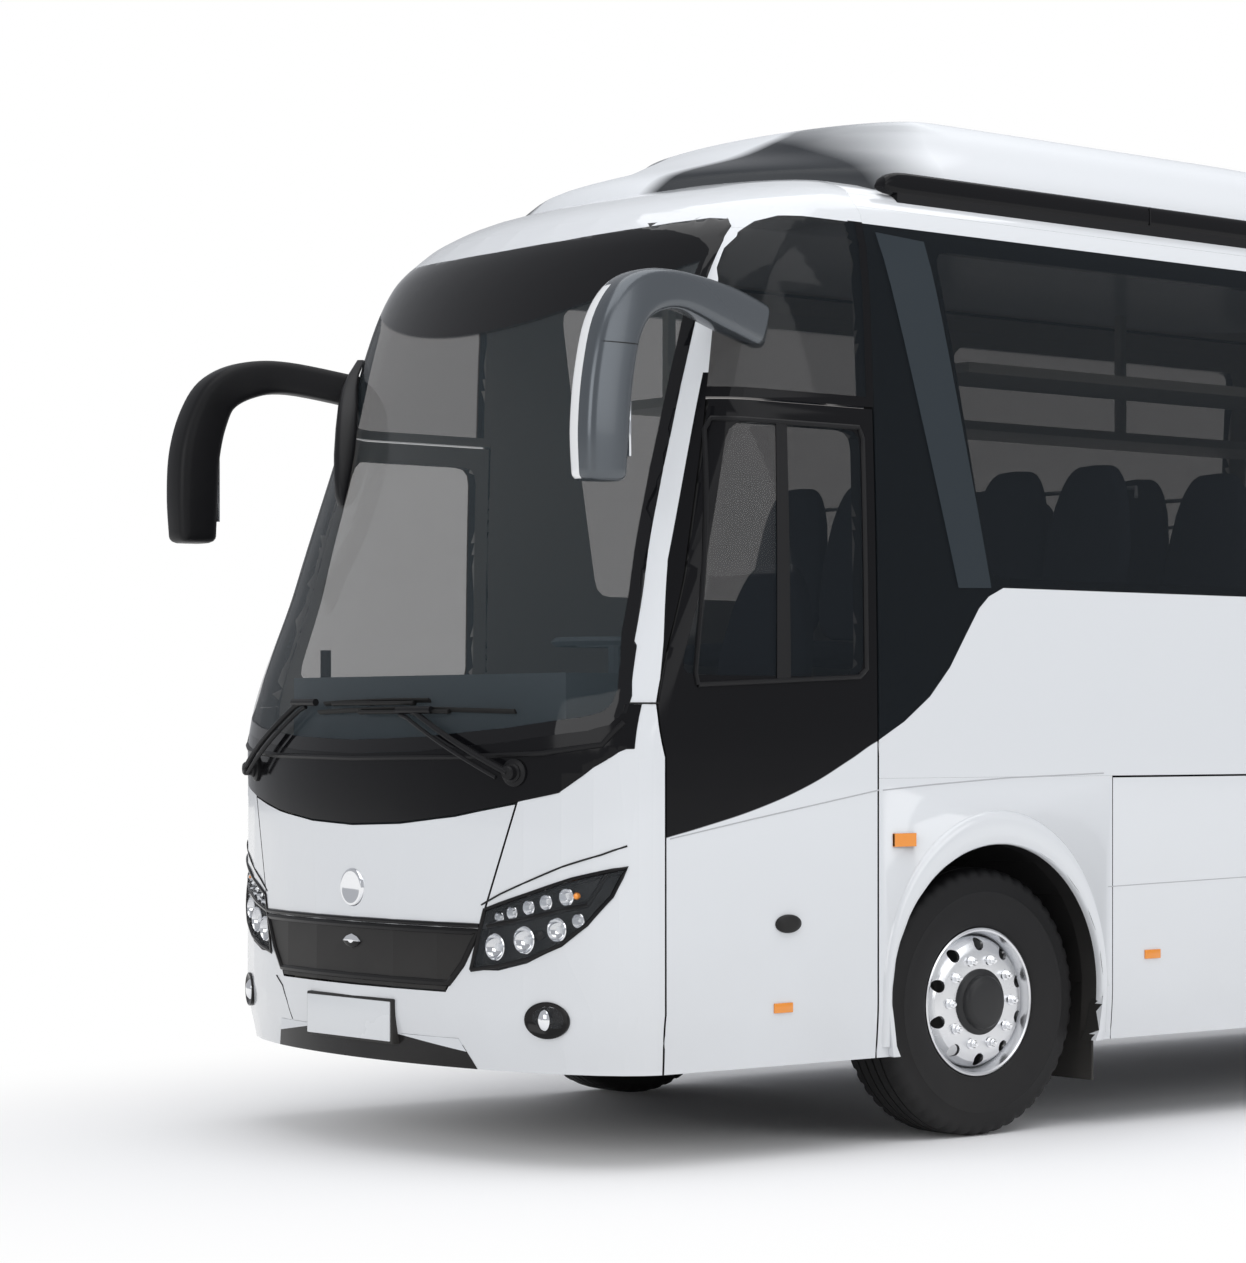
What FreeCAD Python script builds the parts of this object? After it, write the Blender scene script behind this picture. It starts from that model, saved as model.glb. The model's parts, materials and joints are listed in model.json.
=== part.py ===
import FreeCAD, Part
import math
import os
import re
import Sketcher

doc = FreeCAD.newDocument("coach_bus")
Vector = FreeCAD.Vector

# Frame: +X is the bus's left, the nose points to -Y, +Z is up.
# The origin lies on the ground in the middle of the length. All lengths are in millimetres.
SIZES = (
    ("body_width", 2500, "over the side walls"),
    ("roof_height", 3660, "ground to the top of the roof shell"),
    ("skirt_height", 347, "ground to the lower edge of the panels"),
    ("front_overhang", 2157, "nose to front axle"),
    ("wheelbase", 5750, "front axle to rear axle"),
    ("rear_overhang", 3493, "rear axle to the rear panel"),
    ("nose_depth", 470, "depth of the rounded nose in plan"),
    ("screen_rake", 707, "set-back of the screen's upper edge behind the nose"),
    ("tail_rake", 260, "set-back of the roof's rear edge"),
    ("tail_corner", 240, "plan radius of the rear corners"),
    ("tail_cap", 760, "length of the rear cap along the roof"),
    ("wall", 55, "thickness of walls, doors and flaps"),
    ("lid_skin", 15, "thickness of the front lid and of the black front panel"),
    ("pane", 8, "thickness of bonded glass"),
    ("pane_bed", 0.5, "sealant gap behind a pane and round fixed panels"),
    ("door_gap", 8, "shut line round doors, lids and flaps"),
    ("overrun", 40, "how far cutting bodies pass the faces that they cut"),
    ("crease_height", 1392, "top of the luggage doors above the ground"),
    ("sill_height", 2158, "lower edge of the side glass"),
    ("head_height", 3476, "upper edge of the side glass"),
    ("roof_seam", 3545, "joint between the side walls and the roof shell"),
    ("cab_seam", 1665, "joint between the front panel and the cab pillars"),
    ("door_front", 487, "nose to the front line of the two front doors"),
    ("door_width", 1040, "length of the two front doors along the body"),
    ("door_knee", 1670, "height where the door's front line starts to lean back"),
    ("door_height", 2780, "upper edge of the front doors"),
    ("door_lean", 0.25, "set-back of the door's front line per unit of height"),
    ("door_glass_low", 1770, "lower edge of the glass in the front doors"),
    ("door_top_rail", 90, "upper edge of the front doors above their glass"),
    ("door_frame", 75, "frame width round the glass of the front doors"),
    ("quarter_setback", 300, "door rear line to the top end of the quarter glass's bow"),
    ("window_count", 4, "fixed windows on each side"),
    ("window_front", 599, "door rear line to the first window"),
    ("window_post", 130, "width of the posts between windows"),
    ("window_tail", 110, "last window's edge to the rear cap"),
    ("glass_corner", 70, "corner radius of side window openings"),
    ("mask_low", 1221, "lower edge of the black front panel at the centre"),
    ("mask_side", 1349, "lower edge of the black front panel near its ends"),
    ("mask_reach", 1007, "half width where the panel's lower edge turns up"),
    ("screen_low", 1485, "lower edge of the windscreen at the centre"),
    ("screen_low_side", 1585, "lower edge of the windscreen at its corners"),
    ("screen_high", 3422, "upper edge of the windscreen at the centre"),
    ("screen_high_side", 3478, "upper edge of the windscreen near its corners"),
    ("screen_half_low", 1200, "half width of the windscreen at its foot"),
    ("screen_half_mid", 1085, "half width of the windscreen halfway up"),
    ("screen_half_high", 1052, "half width of the windscreen at its top"),
    ("screen_corner", 110, "corner radius of the windscreen"),
    ("lid_half_top", 852, "half width of the front lid at its top"),
    ("lid_half_low", 694, "half width of the front lid at its lower edge"),
    ("lid_low", 858, "height of the joint between lid and grille"),
    ("grille_half_low", 530, "half width of the grille at its lower edge"),
    ("grille_low", 622, "lower edge of the grille"),
    ("lip_half", 667, "half width of the black lower lip"),
    ("lip_top_half", 574, "half width of the lower lip along its upper edge"),
    ("lip_high", 456, "upper edge of the black lower lip"),
    ("lamp_depth", 62, "depth of the headlamp housing behind its lens"),
    ("lamp_wall", 5, "wall of the headlamp housing"),
    ("arch_radius", 578, "radius of the wheel arch openings"),
    ("arch_centre", 566, "height of the arch centres above the ground"),
    ("arch_lip", 12, "how far the flared arch lip stands out"),
    ("flare_height", 685, "arch centre to the top of the flare"),
    ("flare_reach", 596, "arch centre to the front and rear of the flare"),
    ("bay_front", 638, "front axle to the front of the luggage bay"),
    ("bay_rear", 640, "rear of the luggage bay to the rear axle"),
    ("bay_doors", 2, "luggage doors on each side"),
    ("hatch_half", 880, "half width of the engine hatch"),
    ("hatch_low", 560, "lower edge of the engine hatch"),
    ("hatch_high", 1640, "upper edge of the engine hatch"),
    ("rear_glass_half", 900, "half width of the rear window"),
    ("rear_glass_low", 2250, "lower edge of the rear window"),
    ("rear_glass_high", 3120, "upper edge of the rear window"),
    ("tyre_radius", 520, "rolling radius of the tyres"),
    ("tyre_width", 290, "section width of the tyres"),
    ("tread_width", 250, "width of the tread"),
    ("shoulder_drop", 26, "radius lost from tread to sidewall"),
    ("bead_radius", 288, "radius of the rim's bead seat"),
    ("bead_width", 225, "distance between the tyre's beads"),
    ("rim_wall", 14, "thickness of the rim and of the disc"),
    ("front_track", 2060, "distance between the front wheel centres"),
    ("rear_track", 1800, "distance between the middles of the rear twins"),
    ("twin_spacing", 340, "distance between the two wheels of a twin"),
    ("king_pin", 960, "kingpin axis from the centre line"),
    ("pin_radius", 24, "radius of the kingpins"),
    ("running_gap", 0.3, "clearance of turning pins"),
    ("pin_play", 1.2, "how far the corners of a kingpin's bore lie outside the pin's corners"),
    ("stud_circle", 335, "pitch circle of the wheel studs"),
    ("hub_bore", 281, "centring diameter of the hub"),
    ("deck_height", 1520, "passenger floor above the ground"),
    ("platform_height", 1080, "driver's floor above the ground"),
    ("bay_floor", 430, "luggage bay floor above the ground"),
    ("floor_plate", 40, "thickness of the floors and bulkheads"),
    ("step_count", 4, "steps between doorway and driver's floor"),
    ("deck_front", 1, "door rear line to the front of the deck"),
    ("rail_half", 420, "centre line to the outer face of the frame rails"),
    ("rail_width", 70, "width of the frame rails"),
    ("rail_low", 800, "lower face of the frame rails"),
    ("rail_depth", 200, "depth of the frame rails"),
    ("spring_radius", 130, "radius of the air springs"),
    ("row_pitch", 740, "distance between seat rows"),
    ("first_row", 320, "front axle to the front of the first cushion"),
    ("aisle_half", 220, "half width of the aisle"),
    ("seat_height", 440, "top of the cushions above the floor"),
    ("seat_depth", 430, "depth of the cushions"),
    ("cushion", 110, "thickness of the cushions"),
    ("back_height", 700, "height of the backrests"),
    ("back_thickness", 110, "thickness of the backrests"),
    ("back_lean", 110, "set-back of the backrest's top"),
    ("rack_drop", 700, "top of the roof shell above the luggage racks"),
    ("rack_width", 420, "width of the luggage racks"),
    ("dome_height", 4007, "top of the roof dome above the ground"),
    ("dome_front", 992, "nose to the foot of the dome"),
    ("dome_length", 5200, "length of the roof dome"),
    ("dome_half", 1031, "half width of the dome at its foot"),
    ("rail_start", 1700, "nose to the front of the roof rails"),
    ("rail_tail", 900, "roof rails to the rear panel"),
    ("rail_x", 1040, "centre line to the inner face of the roof rails"),
    ("rail_wide", 60, "width of the roof rails"),
    ("rail_rise", 45, "top of the roof rails above the roof shell"),
    ("seam_gap", 0.4, "gap between plain pieces that seat on each other"),
    ("window_lean", 0.194, "forward lean of the first window's front line per unit of height"),
    ("swoosh_foot", 1535, "lower edge of the black glass band at the doors"),
    ("swoosh_length", 666, "doors' rear line to the end of the band's swoosh"),
    ("lid_overlap", 4, "how far the front lid rises over the black panel's edge"),
    ("nose_runs", 20, "straight runs round the nose"),
    ("corner_runs", 3, "straight runs round a corner"),
    ("arc_runs", 6, "straight runs along a drawn arc"),
    ("arch_runs", 10, "straight runs over a wheel arch"),
    ("dome_runs", 12, "straight runs round each end of the dome"),
    ("wheel_sides", 32, "sides of tyres and rims"),
    ("tube_sides", 20, "sides of tubes and springs"),
    ("pin_sides", 12, "sides of small round pieces"),
    ("lamp_margin", 40, "space between hatch and tail lamps"),
    ("tow_x", 450, "tow socket from the centre line"),
    ("tow_height", 450, "tow socket above the ground"),
    ("tow_radius", 16, "radius of the tow socket"),
    ("tail_lamp_width", 95, "width of the tail lamp columns"),
    ("liner_x", 560, "inner edge of the wheel arch liners from the centre line"),
    ("liner_gap", 20, "arch opening to liner"),
    ("liner", 6, "thickness of the liners"),
    ("mirror_foot_x", 1225, "root of the mirror arms from the centre line"),
    ("mirror_foot", 985, "nose to the root of the mirror arms"),
    ("mirror_height", 3070, "root of the mirror arms above the ground"),
    ("mirror_out", 150, "how far the mirror heads stand out from the arm's root"),
    ("mirror_reach", 890, "how far the mirror heads stand forward of the arm's root"),
    ("mirror_drop", 620, "root of the arm to the foot of the mirror head"),
    ("mirror_wide", 110, "width of the mirror arms"),
    ("mirror_tall", 190, "depth of the mirror arms"),
    ("wiper_pivot", 840, "wiper pivots from the centre line"),
    ("wiper_foot", 1420, "wiper pivots above the ground"),
    ("wiper_rest", 1690, "resting height of the wiper blades"),
    ("wiper_stand", 45, "how far the wiper arms stand off the glass"),
    ("wiper_rod", 10, "radius of the wiper arms"),
    ("wiper_boss", 30, "radius of the wiper pivots"),
    ("wiper_tip", 160, "wiper tips from the centre line"),
    ("frame_front", 420, "nose to the front of the frame rails"),
    ("floor_inset", 16, "gap between lower floors and doors"),
    ("deck_inset", 1, "gap between deck and side walls"),
    ("platform_front", 520, "nose to the front of the driver's platform"),
    ("stair_x", 430, "inner end of the stairs from the centre line"),
    ("step_low", 420, "first step above the ground"),
    ("deck_step", 600, "front of the deck to the front of the luggage racks"),
    ("engine_length", 1350, "length of engine and gearbox"),
    ("engine_tall", 900, "height of the engine"),
    ("engine_low", 420, "engine above the ground"),
    ("engine_tail", 950, "rear of the engine to the rear panel"),
    ("beam_drop", 60, "wheel centre to the lower face of the front beam"),
    ("beam_tall", 110, "height of the front beam"),
    ("beam_wide", 90, "width of the front beam"),
    ("boss_radius", 48, "radius of the kingpin bosses"),
    ("boss_tall", 130, "height of the kingpin bosses"),
    ("ear_tall", 34, "thickness of the knuckle's ears"),
    ("spindle_radius", 42, "radius of the stub axles"),
    ("spindle_length", 78, "length of the stub axles"),
    ("arm_wide", 50, "width of the steering arms"),
    ("arm_thick", 24, "thickness of the steering arms"),
    ("tie_radius", 20, "radius of the tie rod"),
    ("tie_eye", 34, "radius of the tie rod's eyes"),
    ("tie_lip", 4, "how far the tie rod's eyes stand over its bar"),
    ("arm_reach", 150, "kingpin to the tie rod"),
    ("axle_tube", 85, "radius of the rear axle tubes"),
    ("diff_radius", 220, "radius of the differential housing"),
    ("hub_reach", 200, "middle of the twins to the end of the rear axle tube"),
    ("hub_start", 30, "end of the hub tube from the wheel's centre"),
    ("hub_cap", 45, "how far the front hub caps stand out from the disc"),
    ("hub_end", 120, "outer face of the hub from the wheel's centre"),
    ("flap_x", 1020, "middle of the mud flaps from the centre line"),
    ("flap_low", 180, "mud flaps above the ground"),
    ("flap_width", 300, "width of the mud flaps"),
    ("flap_thick", 10, "thickness of the mud flaps"),
    ("seat_gap", 45, "gap between seats and side wall"),
    ("stand_width", 90, "width of the seat stands"),
    ("driver_stand_width", 360, "width of the driver's seat stand"),
    ("driver_x", 640, "middle of the driver's seat from the centre line"),
    ("driver_setback", 1180, "nose to the middle of the driver's seat"),
    ("driver_seat_width", 520, "width of the driver's seat"),
    ("dash_front", 330, "nose to the front of the dashboard"),
    ("dash_depth", 360, "depth of the dashboard"),
    ("dash_height", 1780, "top of the dashboard above the ground"),
    ("dash_drop", 120, "height of the dashboard's rear face"),
    ("dash_half", 880, "half width of the dashboard"),
    ("steer_radius", 230, "radius of the steering wheel"),
    ("steer_grip", 16, "radius of the steering wheel's rim"),
    ("steer_reach", 420, "driver's seat to the steering wheel"),
    ("steer_height", 1900, "steering wheel above the ground"),
    ("rack_inset", 60, "gap between luggage racks and side wall"),
    ("hanger", 40, "width of the hangers that hold the luggage racks"),
    ("hanger_count", 4, "hangers on each side"),
    ("marker_height", 1135, "side markers above the ground"),
    ("marker_front", 560, "front axle to the front side marker"),
    ("marker_step", 260, "rear cap to the rear side marker"),
    ("marker_long", 110, "length of a side marker"),
    ("marker_tall", 50, "height of a side marker"),
    ("marker_thick", 14, "thickness of a side marker"),
    ("arm_x", 1150, "post of the entrance door from the centre line"),
    ("arm_post", 180, "door front line to the post of the entrance door"),
    ("arm_radius", 22, "radius of the entrance door's post"),
    ("arm_length", 520, "length of the entrance door's arms"),
    ("arm_low", 900, "lower door arm above the ground"),
    ("arm_high", 1425, "upper door arm above the ground"),
    ("arm_tall", 1480, "height of the entrance door's post"),
)

# Places that follow from the sizes, kept as formulas in a sheet of their own.
PLACES = (
    ("half_width", "body_width / 2"),
    ("overall_length", "front_overhang + wheelbase + rear_overhang"),
    ("nose_y", "-overall_length / 2"),
    ("tail_y", "overall_length / 2"),
    ("front_axle_y", "nose_y + front_overhang"),
    ("rear_axle_y", "front_axle_y + wheelbase"),
    ("door_front_y", "nose_y + door_front"),
    ("door_rear_y", "door_front_y + door_width"),
    ("door_top_y", "door_front_y + (door_height - door_knee) * door_lean"),
    ("bay_front_y", "front_axle_y + bay_front"),
    ("bay_rear_y", "rear_axle_y - bay_rear"),
    ("window_start_y", "door_rear_y + window_front"),
    ("window_end_y", "tail_y - tail_cap - window_tail"),
    ("first_row_y", "front_axle_y + first_row"),
    ("cap_front_y", "tail_y - tail_cap"),
    ("seat_rows", "floor((cap_front_y - first_row_y) / row_pitch)"),
    ("rack_height", "roof_height - rack_drop"),
    ("door_glass_high", "door_height - door_top_rail"),
    ("floor_half", "half_width - wall - floor_inset"),
    ("deck_half", "half_width - wall - deck_inset"),
    ("engine_width", "(rail_half - rail_width - seam_gap) * 2"),
    ("deck_y", "door_rear_y + deck_front"),
    ("engine_front_y", "tail_y - engine_tail - engine_length"),
    ("driver_y", "nose_y + driver_setback"),
    ("arm_y", "door_front_y + arm_post"),
    ("tie_z", "tyre_radius - boss_tall / 2 - ear_tall - tie_radius - tie_lip - seam_gap"),
    ("wheel_x", "front_track / 2"),
    ("twin_x", "rear_track / 2"),
)

sheet = doc.addObject("Spreadsheet::Sheet", "sizes")
places = doc.addObject("Spreadsheet::Sheet", "places")
SIZE_NAMES = {name for name, number, note in SIZES}
PLACE_NAMES = {name for name, formula in PLACES}


def linked(formula):
    """A formula in plain names, with each name pointed at the sheet that holds it."""

    def point(match):
        word = match.group(0)
        if word in SIZE_NAMES:
            return "sizes." + word
        if word in PLACE_NAMES:
            return "places." + word
        return word

    return re.sub(r"[A-Za-z_]\w*", point, str(formula))


for row, (name, number, note) in enumerate(SIZES, start=1):
    sheet.set(f"A{row}", name)
    sheet.set(f"B{row}", str(number))
    sheet.setAlias(f"B{row}", name)
    sheet.set(f"C{row}", note)
sheet.recompute()
for row, (name, formula) in enumerate(PLACES, start=1):
    places.set(f"A{row}", name)
    places.set(f"B{row}", "=" + linked(formula))
    places.setAlias(f"B{row}", name)
    places.recompute()
doc.recompute()


class Values:
    """Reads a size or place from the sheets by its name."""

    def __getattr__(self, name):
        source = sheet if name in SIZE_NAMES else places
        return source.get(name)


size = Values()


def number(formula):
    """The value of a formula in sheet names."""
    names = {name: getattr(size, name) for name in SIZE_NAMES | PLACE_NAMES if name in str(formula)}
    worked = re.sub(r"[A-Za-z_]\w*", lambda match: repr(float(names[match.group(0)])), str(formula))
    return FreeCAD.Units.Quantity(worked).Value


PLACE_PATHS = {"x": "Placement.Base.x", "y": "Placement.Base.y", "z": "Placement.Base.z"}
TURNS = {
    "X": FreeCAD.Rotation(Vector(0, 1, 0), 90),
    "Y": FreeCAD.Rotation(Vector(1, 0, 0), -90),
    "Z": FreeCAD.Rotation(),
}


def bind(item, **formulas):
    """Ties an object's sizes and place to the sheets."""
    for name, formula in formulas.items():
        item.setExpression(PLACE_PATHS.get(name, name), linked(formula))
    return item


def box(name, x, y, z, length, width, height):
    """A block from its low corner."""
    item = doc.addObject("Part::Box", name)
    return bind(item, x=x, y=y, z=z, Length=length, Width=width, Height=height)


def middle_box(name, x, y, z, length, width, height):
    """A block centred on x and y that stands on z."""
    return box(name, f"({x}) - ({length}) / 2", f"({y}) - ({width}) / 2", z, length, width, height)


def rod(name, axis, x, y, z, radius, height):
    """A round bar that starts at a point and runs along an axis."""
    item = doc.addObject("Part::Cylinder", name)
    item.Placement = FreeCAD.Placement(Vector(), TURNS[axis])
    return bind(item, x=x, y=y, z=z, Radius=radius, Height=height)


def joined(name, items):
    """One solid from pieces that meet."""
    item = doc.addObject("Part::MultiFuse", name)
    item.Shapes = items
    item.Refine = True
    return item


def cut(name, base, tool):
    """A piece less a cutting body."""
    item = doc.addObject("Part::Cut", name)
    item.Base = base
    item.Tool = tool
    return item


def group(name, items):
    """Like pieces that share one sub-part."""
    item = doc.addObject("Part::Compound", name)
    item.Links = items
    return item


def mirrored(name, source):
    """The same piece on the other side of the centre plane."""
    item = doc.addObject("Part::Mirroring", name)
    item.Source = source
    item.Normal = Vector(1, 0, 0)
    return item


def fixed(name, shape):
    """A sub-part whose surfaces are worked out below."""
    item = doc.addObject("Part::Feature", name)
    item.Shape = shape
    item.Placement = FreeCAD.Placement()
    return item


SUBPARTS = {}


def subpart(node, item):
    """Names a finished piece and keeps it for export."""
    item.Label = node
    SUBPARTS[node] = item
    return item


def plane_of(body, role):
    """One of a body's own origin planes or axes."""
    return next(item for item in body.Origin.OriginFeatures if item.Role == role)


def sketch_on(body, role, corners):
    """A closed outline of straight lines whose corners are tied to the sheets."""
    sketch = body.newObject("Sketcher::SketchObject", body.Name + "_outline")
    sketch.AttachmentSupport = [(plane_of(body, role), "")]
    sketch.MapMode = "FlatFace"
    points = [Vector(number(u), number(v), 0) for u, v in corners]
    count = len(points)
    for index, point in enumerate(points):
        sketch.addGeometry(Part.LineSegment(point, points[(index + 1) % count]), False)
    for index in range(count):
        sketch.addConstraint(Sketcher.Constraint("Coincident", index, 2, (index + 1) % count, 1))
    for index, (u, v) in enumerate(corners):
        for kind, formula, value in (("DistanceX", u, points[index].x), ("DistanceY", v, points[index].y)):
            place = sketch.addConstraint(Sketcher.Constraint(kind, -1, 1, index, 1, value))
            sketch.setExpression(f"Constraints[{place}]", linked(formula))
    return sketch


def profile_bar(name, corners, width, role="YZ_Plane", **place):
    """A bar with a drawn section, as wide as given, centred on its sketch plane."""
    body = doc.addObject("PartDesign::Body", name)
    sketch = sketch_on(body, role, corners)
    pad = body.newObject("PartDesign::Pad", name + "_pad")
    pad.Profile = sketch
    pad.Midplane = True
    bind(pad, Length=width)
    bind(body, **place)
    return body


def prism(name, axis, x, y, z, radius, height, sides="pin_sides"):
    """A many-sided bar that starts at a point and runs along an axis."""
    item = doc.addObject("Part::Prism", name)
    item.Placement = FreeCAD.Placement(Vector(), TURNS[axis])
    return bind(item, x=x, y=y, z=z, Circumradius=radius, Height=height, Polygon=sides)


def turned_face(corners):
    """A flat face through the corners that differ, or none where they meet on the axis."""
    kept = [corner for index, corner in enumerate(corners) if (corner - corners[index - 1]).Length > NEAR]
    return [flat(kept)] if len(kept) > 2 else []


def turned(name, section, x, y, z, sides, axis=Vector(1, 0, 0)):
    """A many-sided turned piece. The section gives (along its axis, distance to the middle of a side)."""
    across = Vector(0, 0, 1) if axis.x else Vector(1, 0, 0)
    upward = axis.cross(across)
    centre = Vector(number(x), number(y), number(z))
    step = math.pi / sides
    rings = []
    for along, radius in section:
        reach = number(radius) / math.cos(step)
        ring = []
        for index in range(sides):
            turn = (2 * index + 1) * step
            spoke = across * math.cos(turn) + upward * math.sin(turn)
            ring.append(centre + axis * number(along) + spoke * reach)
        rings.append(ring)
    faces = []
    for low, high in zip(rings, rings[1:] + rings[:1]):
        for index in range(sides):
            after = (index + 1) % sides
            faces.extend(turned_face([low[index], low[after], high[after], high[index]]))
    skin = Part.makeShell(faces)
    skin.sewShape()
    block = Part.Solid(skin)
    if block.Volume < 0:
        block.reverse()
    return fixed(name, block.removeSplitter())


# The body's outer skin is a stack of bands between plan levels. Each row holds shares for one level:
# height (of the roof's), nose set-back (of the screen's rake), half width, nose depth,
# tail set-back (of the tail's rake), inward offset and downward offset (of a wall's thickness).
BODY_SHARES = (
    (0.0948, 0.057, 0.990, 1.000, 0.10, 1.0, 0.0),
    (0.1530, 0.007, 1.000, 1.000, 0.02, 1.0, 0.0),
    (0.4030, 0.012, 1.000, 1.000, 0.00, 1.0, 0.0),
    (0.5880, 0.330, 0.993, 1.000, 0.14, 1.0, 0.0),
    (0.7500, 0.625, 0.978, 1.000, 0.33, 1.0, 0.0),
    (0.8800, 0.845, 0.959, 1.005, 0.56, 1.0, 0.2),
    (0.9250, 0.955, 0.945, 1.030, 0.71, 0.88, 0.5),
    (0.9600, 1.130, 0.917, 1.090, 0.95, 0.72, 0.86),
    (0.9850, 1.360, 0.857, 1.090, 1.35, 0.56, 1.0),
    (1.0000, 1.640, 0.760, 0.780, 1.90, 0.4, 1.0),
)
NOSE_EVEN_SHARE = 0.5
SHARP_SHARE = 0.94
NEAR = 0.01
OCTAGON_SIDES = 8
LEVEL = 0.000001


def swept(start, end, runs, even_share=1):
    """Angles from start to end; an even share below 1 draws them toward both ends."""
    angles = []
    for step in range(runs + 1):
        share = step / runs
        eased = even_share * share + (1 - even_share) * (1 - math.cos(math.pi * share)) / 2
        angles.append(start + (end - start) * eased)
    return angles


def bend(centre, across, along, angles):
    """Points of an oval's stretch in plan."""
    return [centre + Vector(across * math.cos(angle), along * math.sin(angle), 0) for angle in angles]


def level_sizes(share_row, inset):
    """Height, half width, nose line, nose depth and tail line of one level, set in by a wall's thickness."""
    height, setback, width, depth, rake, inward, downward = share_row
    offset = inset * inward
    level = height * size.roof_height - inset * downward
    if inset > 0 and share_row == BODY_SHARES[0]:
        level -= size.overrun
    return (
        level,
        width * size.half_width - offset,
        size.nose_y + setback * size.screen_rake + offset,
        depth * size.nose_depth - offset,
        size.tail_y - rake * size.tail_rake - offset,
    )


def band_face(corners):
    """One flat face through four corners, or two where they don't lie in a plane."""
    normal = (corners[1] - corners[0]).cross(corners[3] - corners[0])
    if normal.Length < NEAR:
        return [flat([corners[0], corners[1], corners[2]])]
    if abs((corners[2] - corners[0]).dot(normal.normalize())) < LEVEL:
        return [flat(corners)]
    return [flat(corners[:3]), flat([corners[0]] + corners[2:])]


def flat(points):
    """A flat face from its corners."""
    return Part.Face(Part.makePolygon(list(points) + [points[0]]))


def banded(levels):
    """A closed solid of flat faces from a stack of outlines with as many corners each."""
    faces = [flat(levels[0]), flat(levels[-1])]
    for low, high in zip(levels, levels[1:]):
        for index in range(len(low)):
            after = (index + 1) % len(low)
            faces.extend(band_face([low[index], low[after], high[after], high[index]]))
    skin = Part.makeShell(faces)
    skin.sewShape()
    block = Part.Solid(skin)
    if block.Volume < 0:
        block.reverse()
    return block


def nose_level(height, half, nose, depth, back):
    """Plan outline with an elliptic nose in short runs and straight sides, closed at the back."""
    turns = swept(math.pi, 2 * math.pi, round(size.nose_runs), NOSE_EVEN_SHARE)
    front = bend(Vector(0, nose + depth, height), half, depth, turns)
    return front + [Vector(half, back, height), Vector(-half, back, height)]


def tail_level(height, half, tail, corner, front):
    """Plan outline with a straight back and rounded corners, closed at the front."""
    runs = round(size.corner_runs)
    left = bend(Vector(half - corner, tail - corner, height), corner, corner, swept(0, math.pi / 2, runs))
    right_centre = Vector(corner - half, tail - corner, height)
    right = bend(right_centre, corner, corner, swept(math.pi / 2, math.pi, runs))
    return [Vector(half, front, height)] + left + right + [Vector(-half, front, height)]


def nose_block(inset):
    """The body ahead of the doors' rear line as a solid, set in from the outer skin."""
    back = size.door_rear_y + (size.overrun if inset > 0 else 0)
    levels = []
    for share_row in BODY_SHARES:
        height, half, nose, depth, tail = level_sizes(share_row, inset)
        levels.append(nose_level(height, half, nose, depth, back))
    return banded(levels)


def tail_block(inset):
    """The rear cap of the body as a solid, set in from the outer skin."""
    front = size.tail_y - size.tail_cap - (size.overrun if inset > 0 else 0)
    levels = []
    for share_row in BODY_SHARES:
        height, half, nose, depth, tail = level_sizes(share_row, inset)
        levels.append(tail_level(height, half, tail, size.tail_corner - inset, front))
    return banded(levels)


def middle_block(inset):
    """The straight body between doors and rear cap as a solid, set in from the outer skin."""
    extra = size.overrun if inset > 0 else 0
    front = size.door_rear_y - extra
    back = size.tail_y - size.tail_cap + extra
    rows = [level_sizes(share_row, inset) for share_row in BODY_SHARES]
    right = [Vector(-half, front, height) for height, half, nose, depth, tail in rows]
    left = [Vector(half, front, height) for height, half, nose, depth, tail in reversed(rows)]
    section = Part.Face(Part.makePolygon(right + left + right[:1]))
    return section.extrude(Vector(0, back - front, 0))


def skins(block):
    """The layers of one stretch of the body, from its outer skin inward."""
    whole = block(0)
    return {
        "pane": whole.cut(block(size.pane)),
        "bed": whole.cut(block(size.pane + size.pane_bed)),
        "lid": whole.cut(block(size.lid_skin)),
        "wall": whole.cut(block(size.wall)),
    }


def side_face(points):
    """A face in the YZ plane from corner points; a third entry is a point that an arc passes."""
    return outlined(points, lambda u, v: Vector(0, u, v))


def front_face(points):
    """A face in the XZ plane."""
    return outlined(points, lambda u, v: Vector(u, 0, v))


def outlined(points, place):
    """A face with straight edges. Each entry is (u, v) or (u, v, (via_u, via_v)):
    the via point lies on the arc that leads to that corner in short runs."""
    corners = []
    last = points[-1]
    for entry in points:
        if len(entry) > 2:
            arc = Part.Arc(place(last[0], last[1]), place(*entry[2]), place(entry[0], entry[1])).toShape()
            corners.extend(arc.discretize(Number=round(size.arc_runs) + 1)[1:])
        else:
            corners.append(place(entry[0], entry[1]))
        last = entry
    return flat(corners)


def shrunk(face, gap):
    """The same face drawn in by a gap on every side."""
    return face.makeOffset2D(-gap, 2)


def softened(face, reach):
    """The same outline with its sharp corners cut back by a reach and eased over in short runs."""
    corners = [vertex.Point for vertex in face.OuterWire.OrderedVertexes]
    points = []
    for index, corner in enumerate(corners):
        before = corners[index - 1] - corner
        after = corners[(index + 1) % len(corners)] - corner
        before.normalize()
        after.normalize()
        if before.dot(after) < -SHARP_SHARE:
            points.append(corner)
            continue
        runs = round(size.corner_runs)
        for step in range(runs + 1):
            share = step / runs
            points.append(corner + before * (reach * (1 - share) ** 2) + after * (reach * share**2))
    return flat(points)


def through_side(face, low_x, high_x):
    """A side outline pushed through from one X to another."""
    moved = face.translated(Vector(low_x, 0, 0))
    return moved.extrude(Vector(high_x - low_x, 0, 0))


def through_front(face, low_y, high_y):
    """A front outline pushed through from one Y to another."""
    moved = face.translated(Vector(0, low_y, 0))
    return moved.extrude(Vector(0, high_y - low_y, 0))


def other_side(shape):
    """The shape on the other side of the centre plane."""
    return shape.mirror(Vector(), Vector(1, 0, 0))


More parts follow.
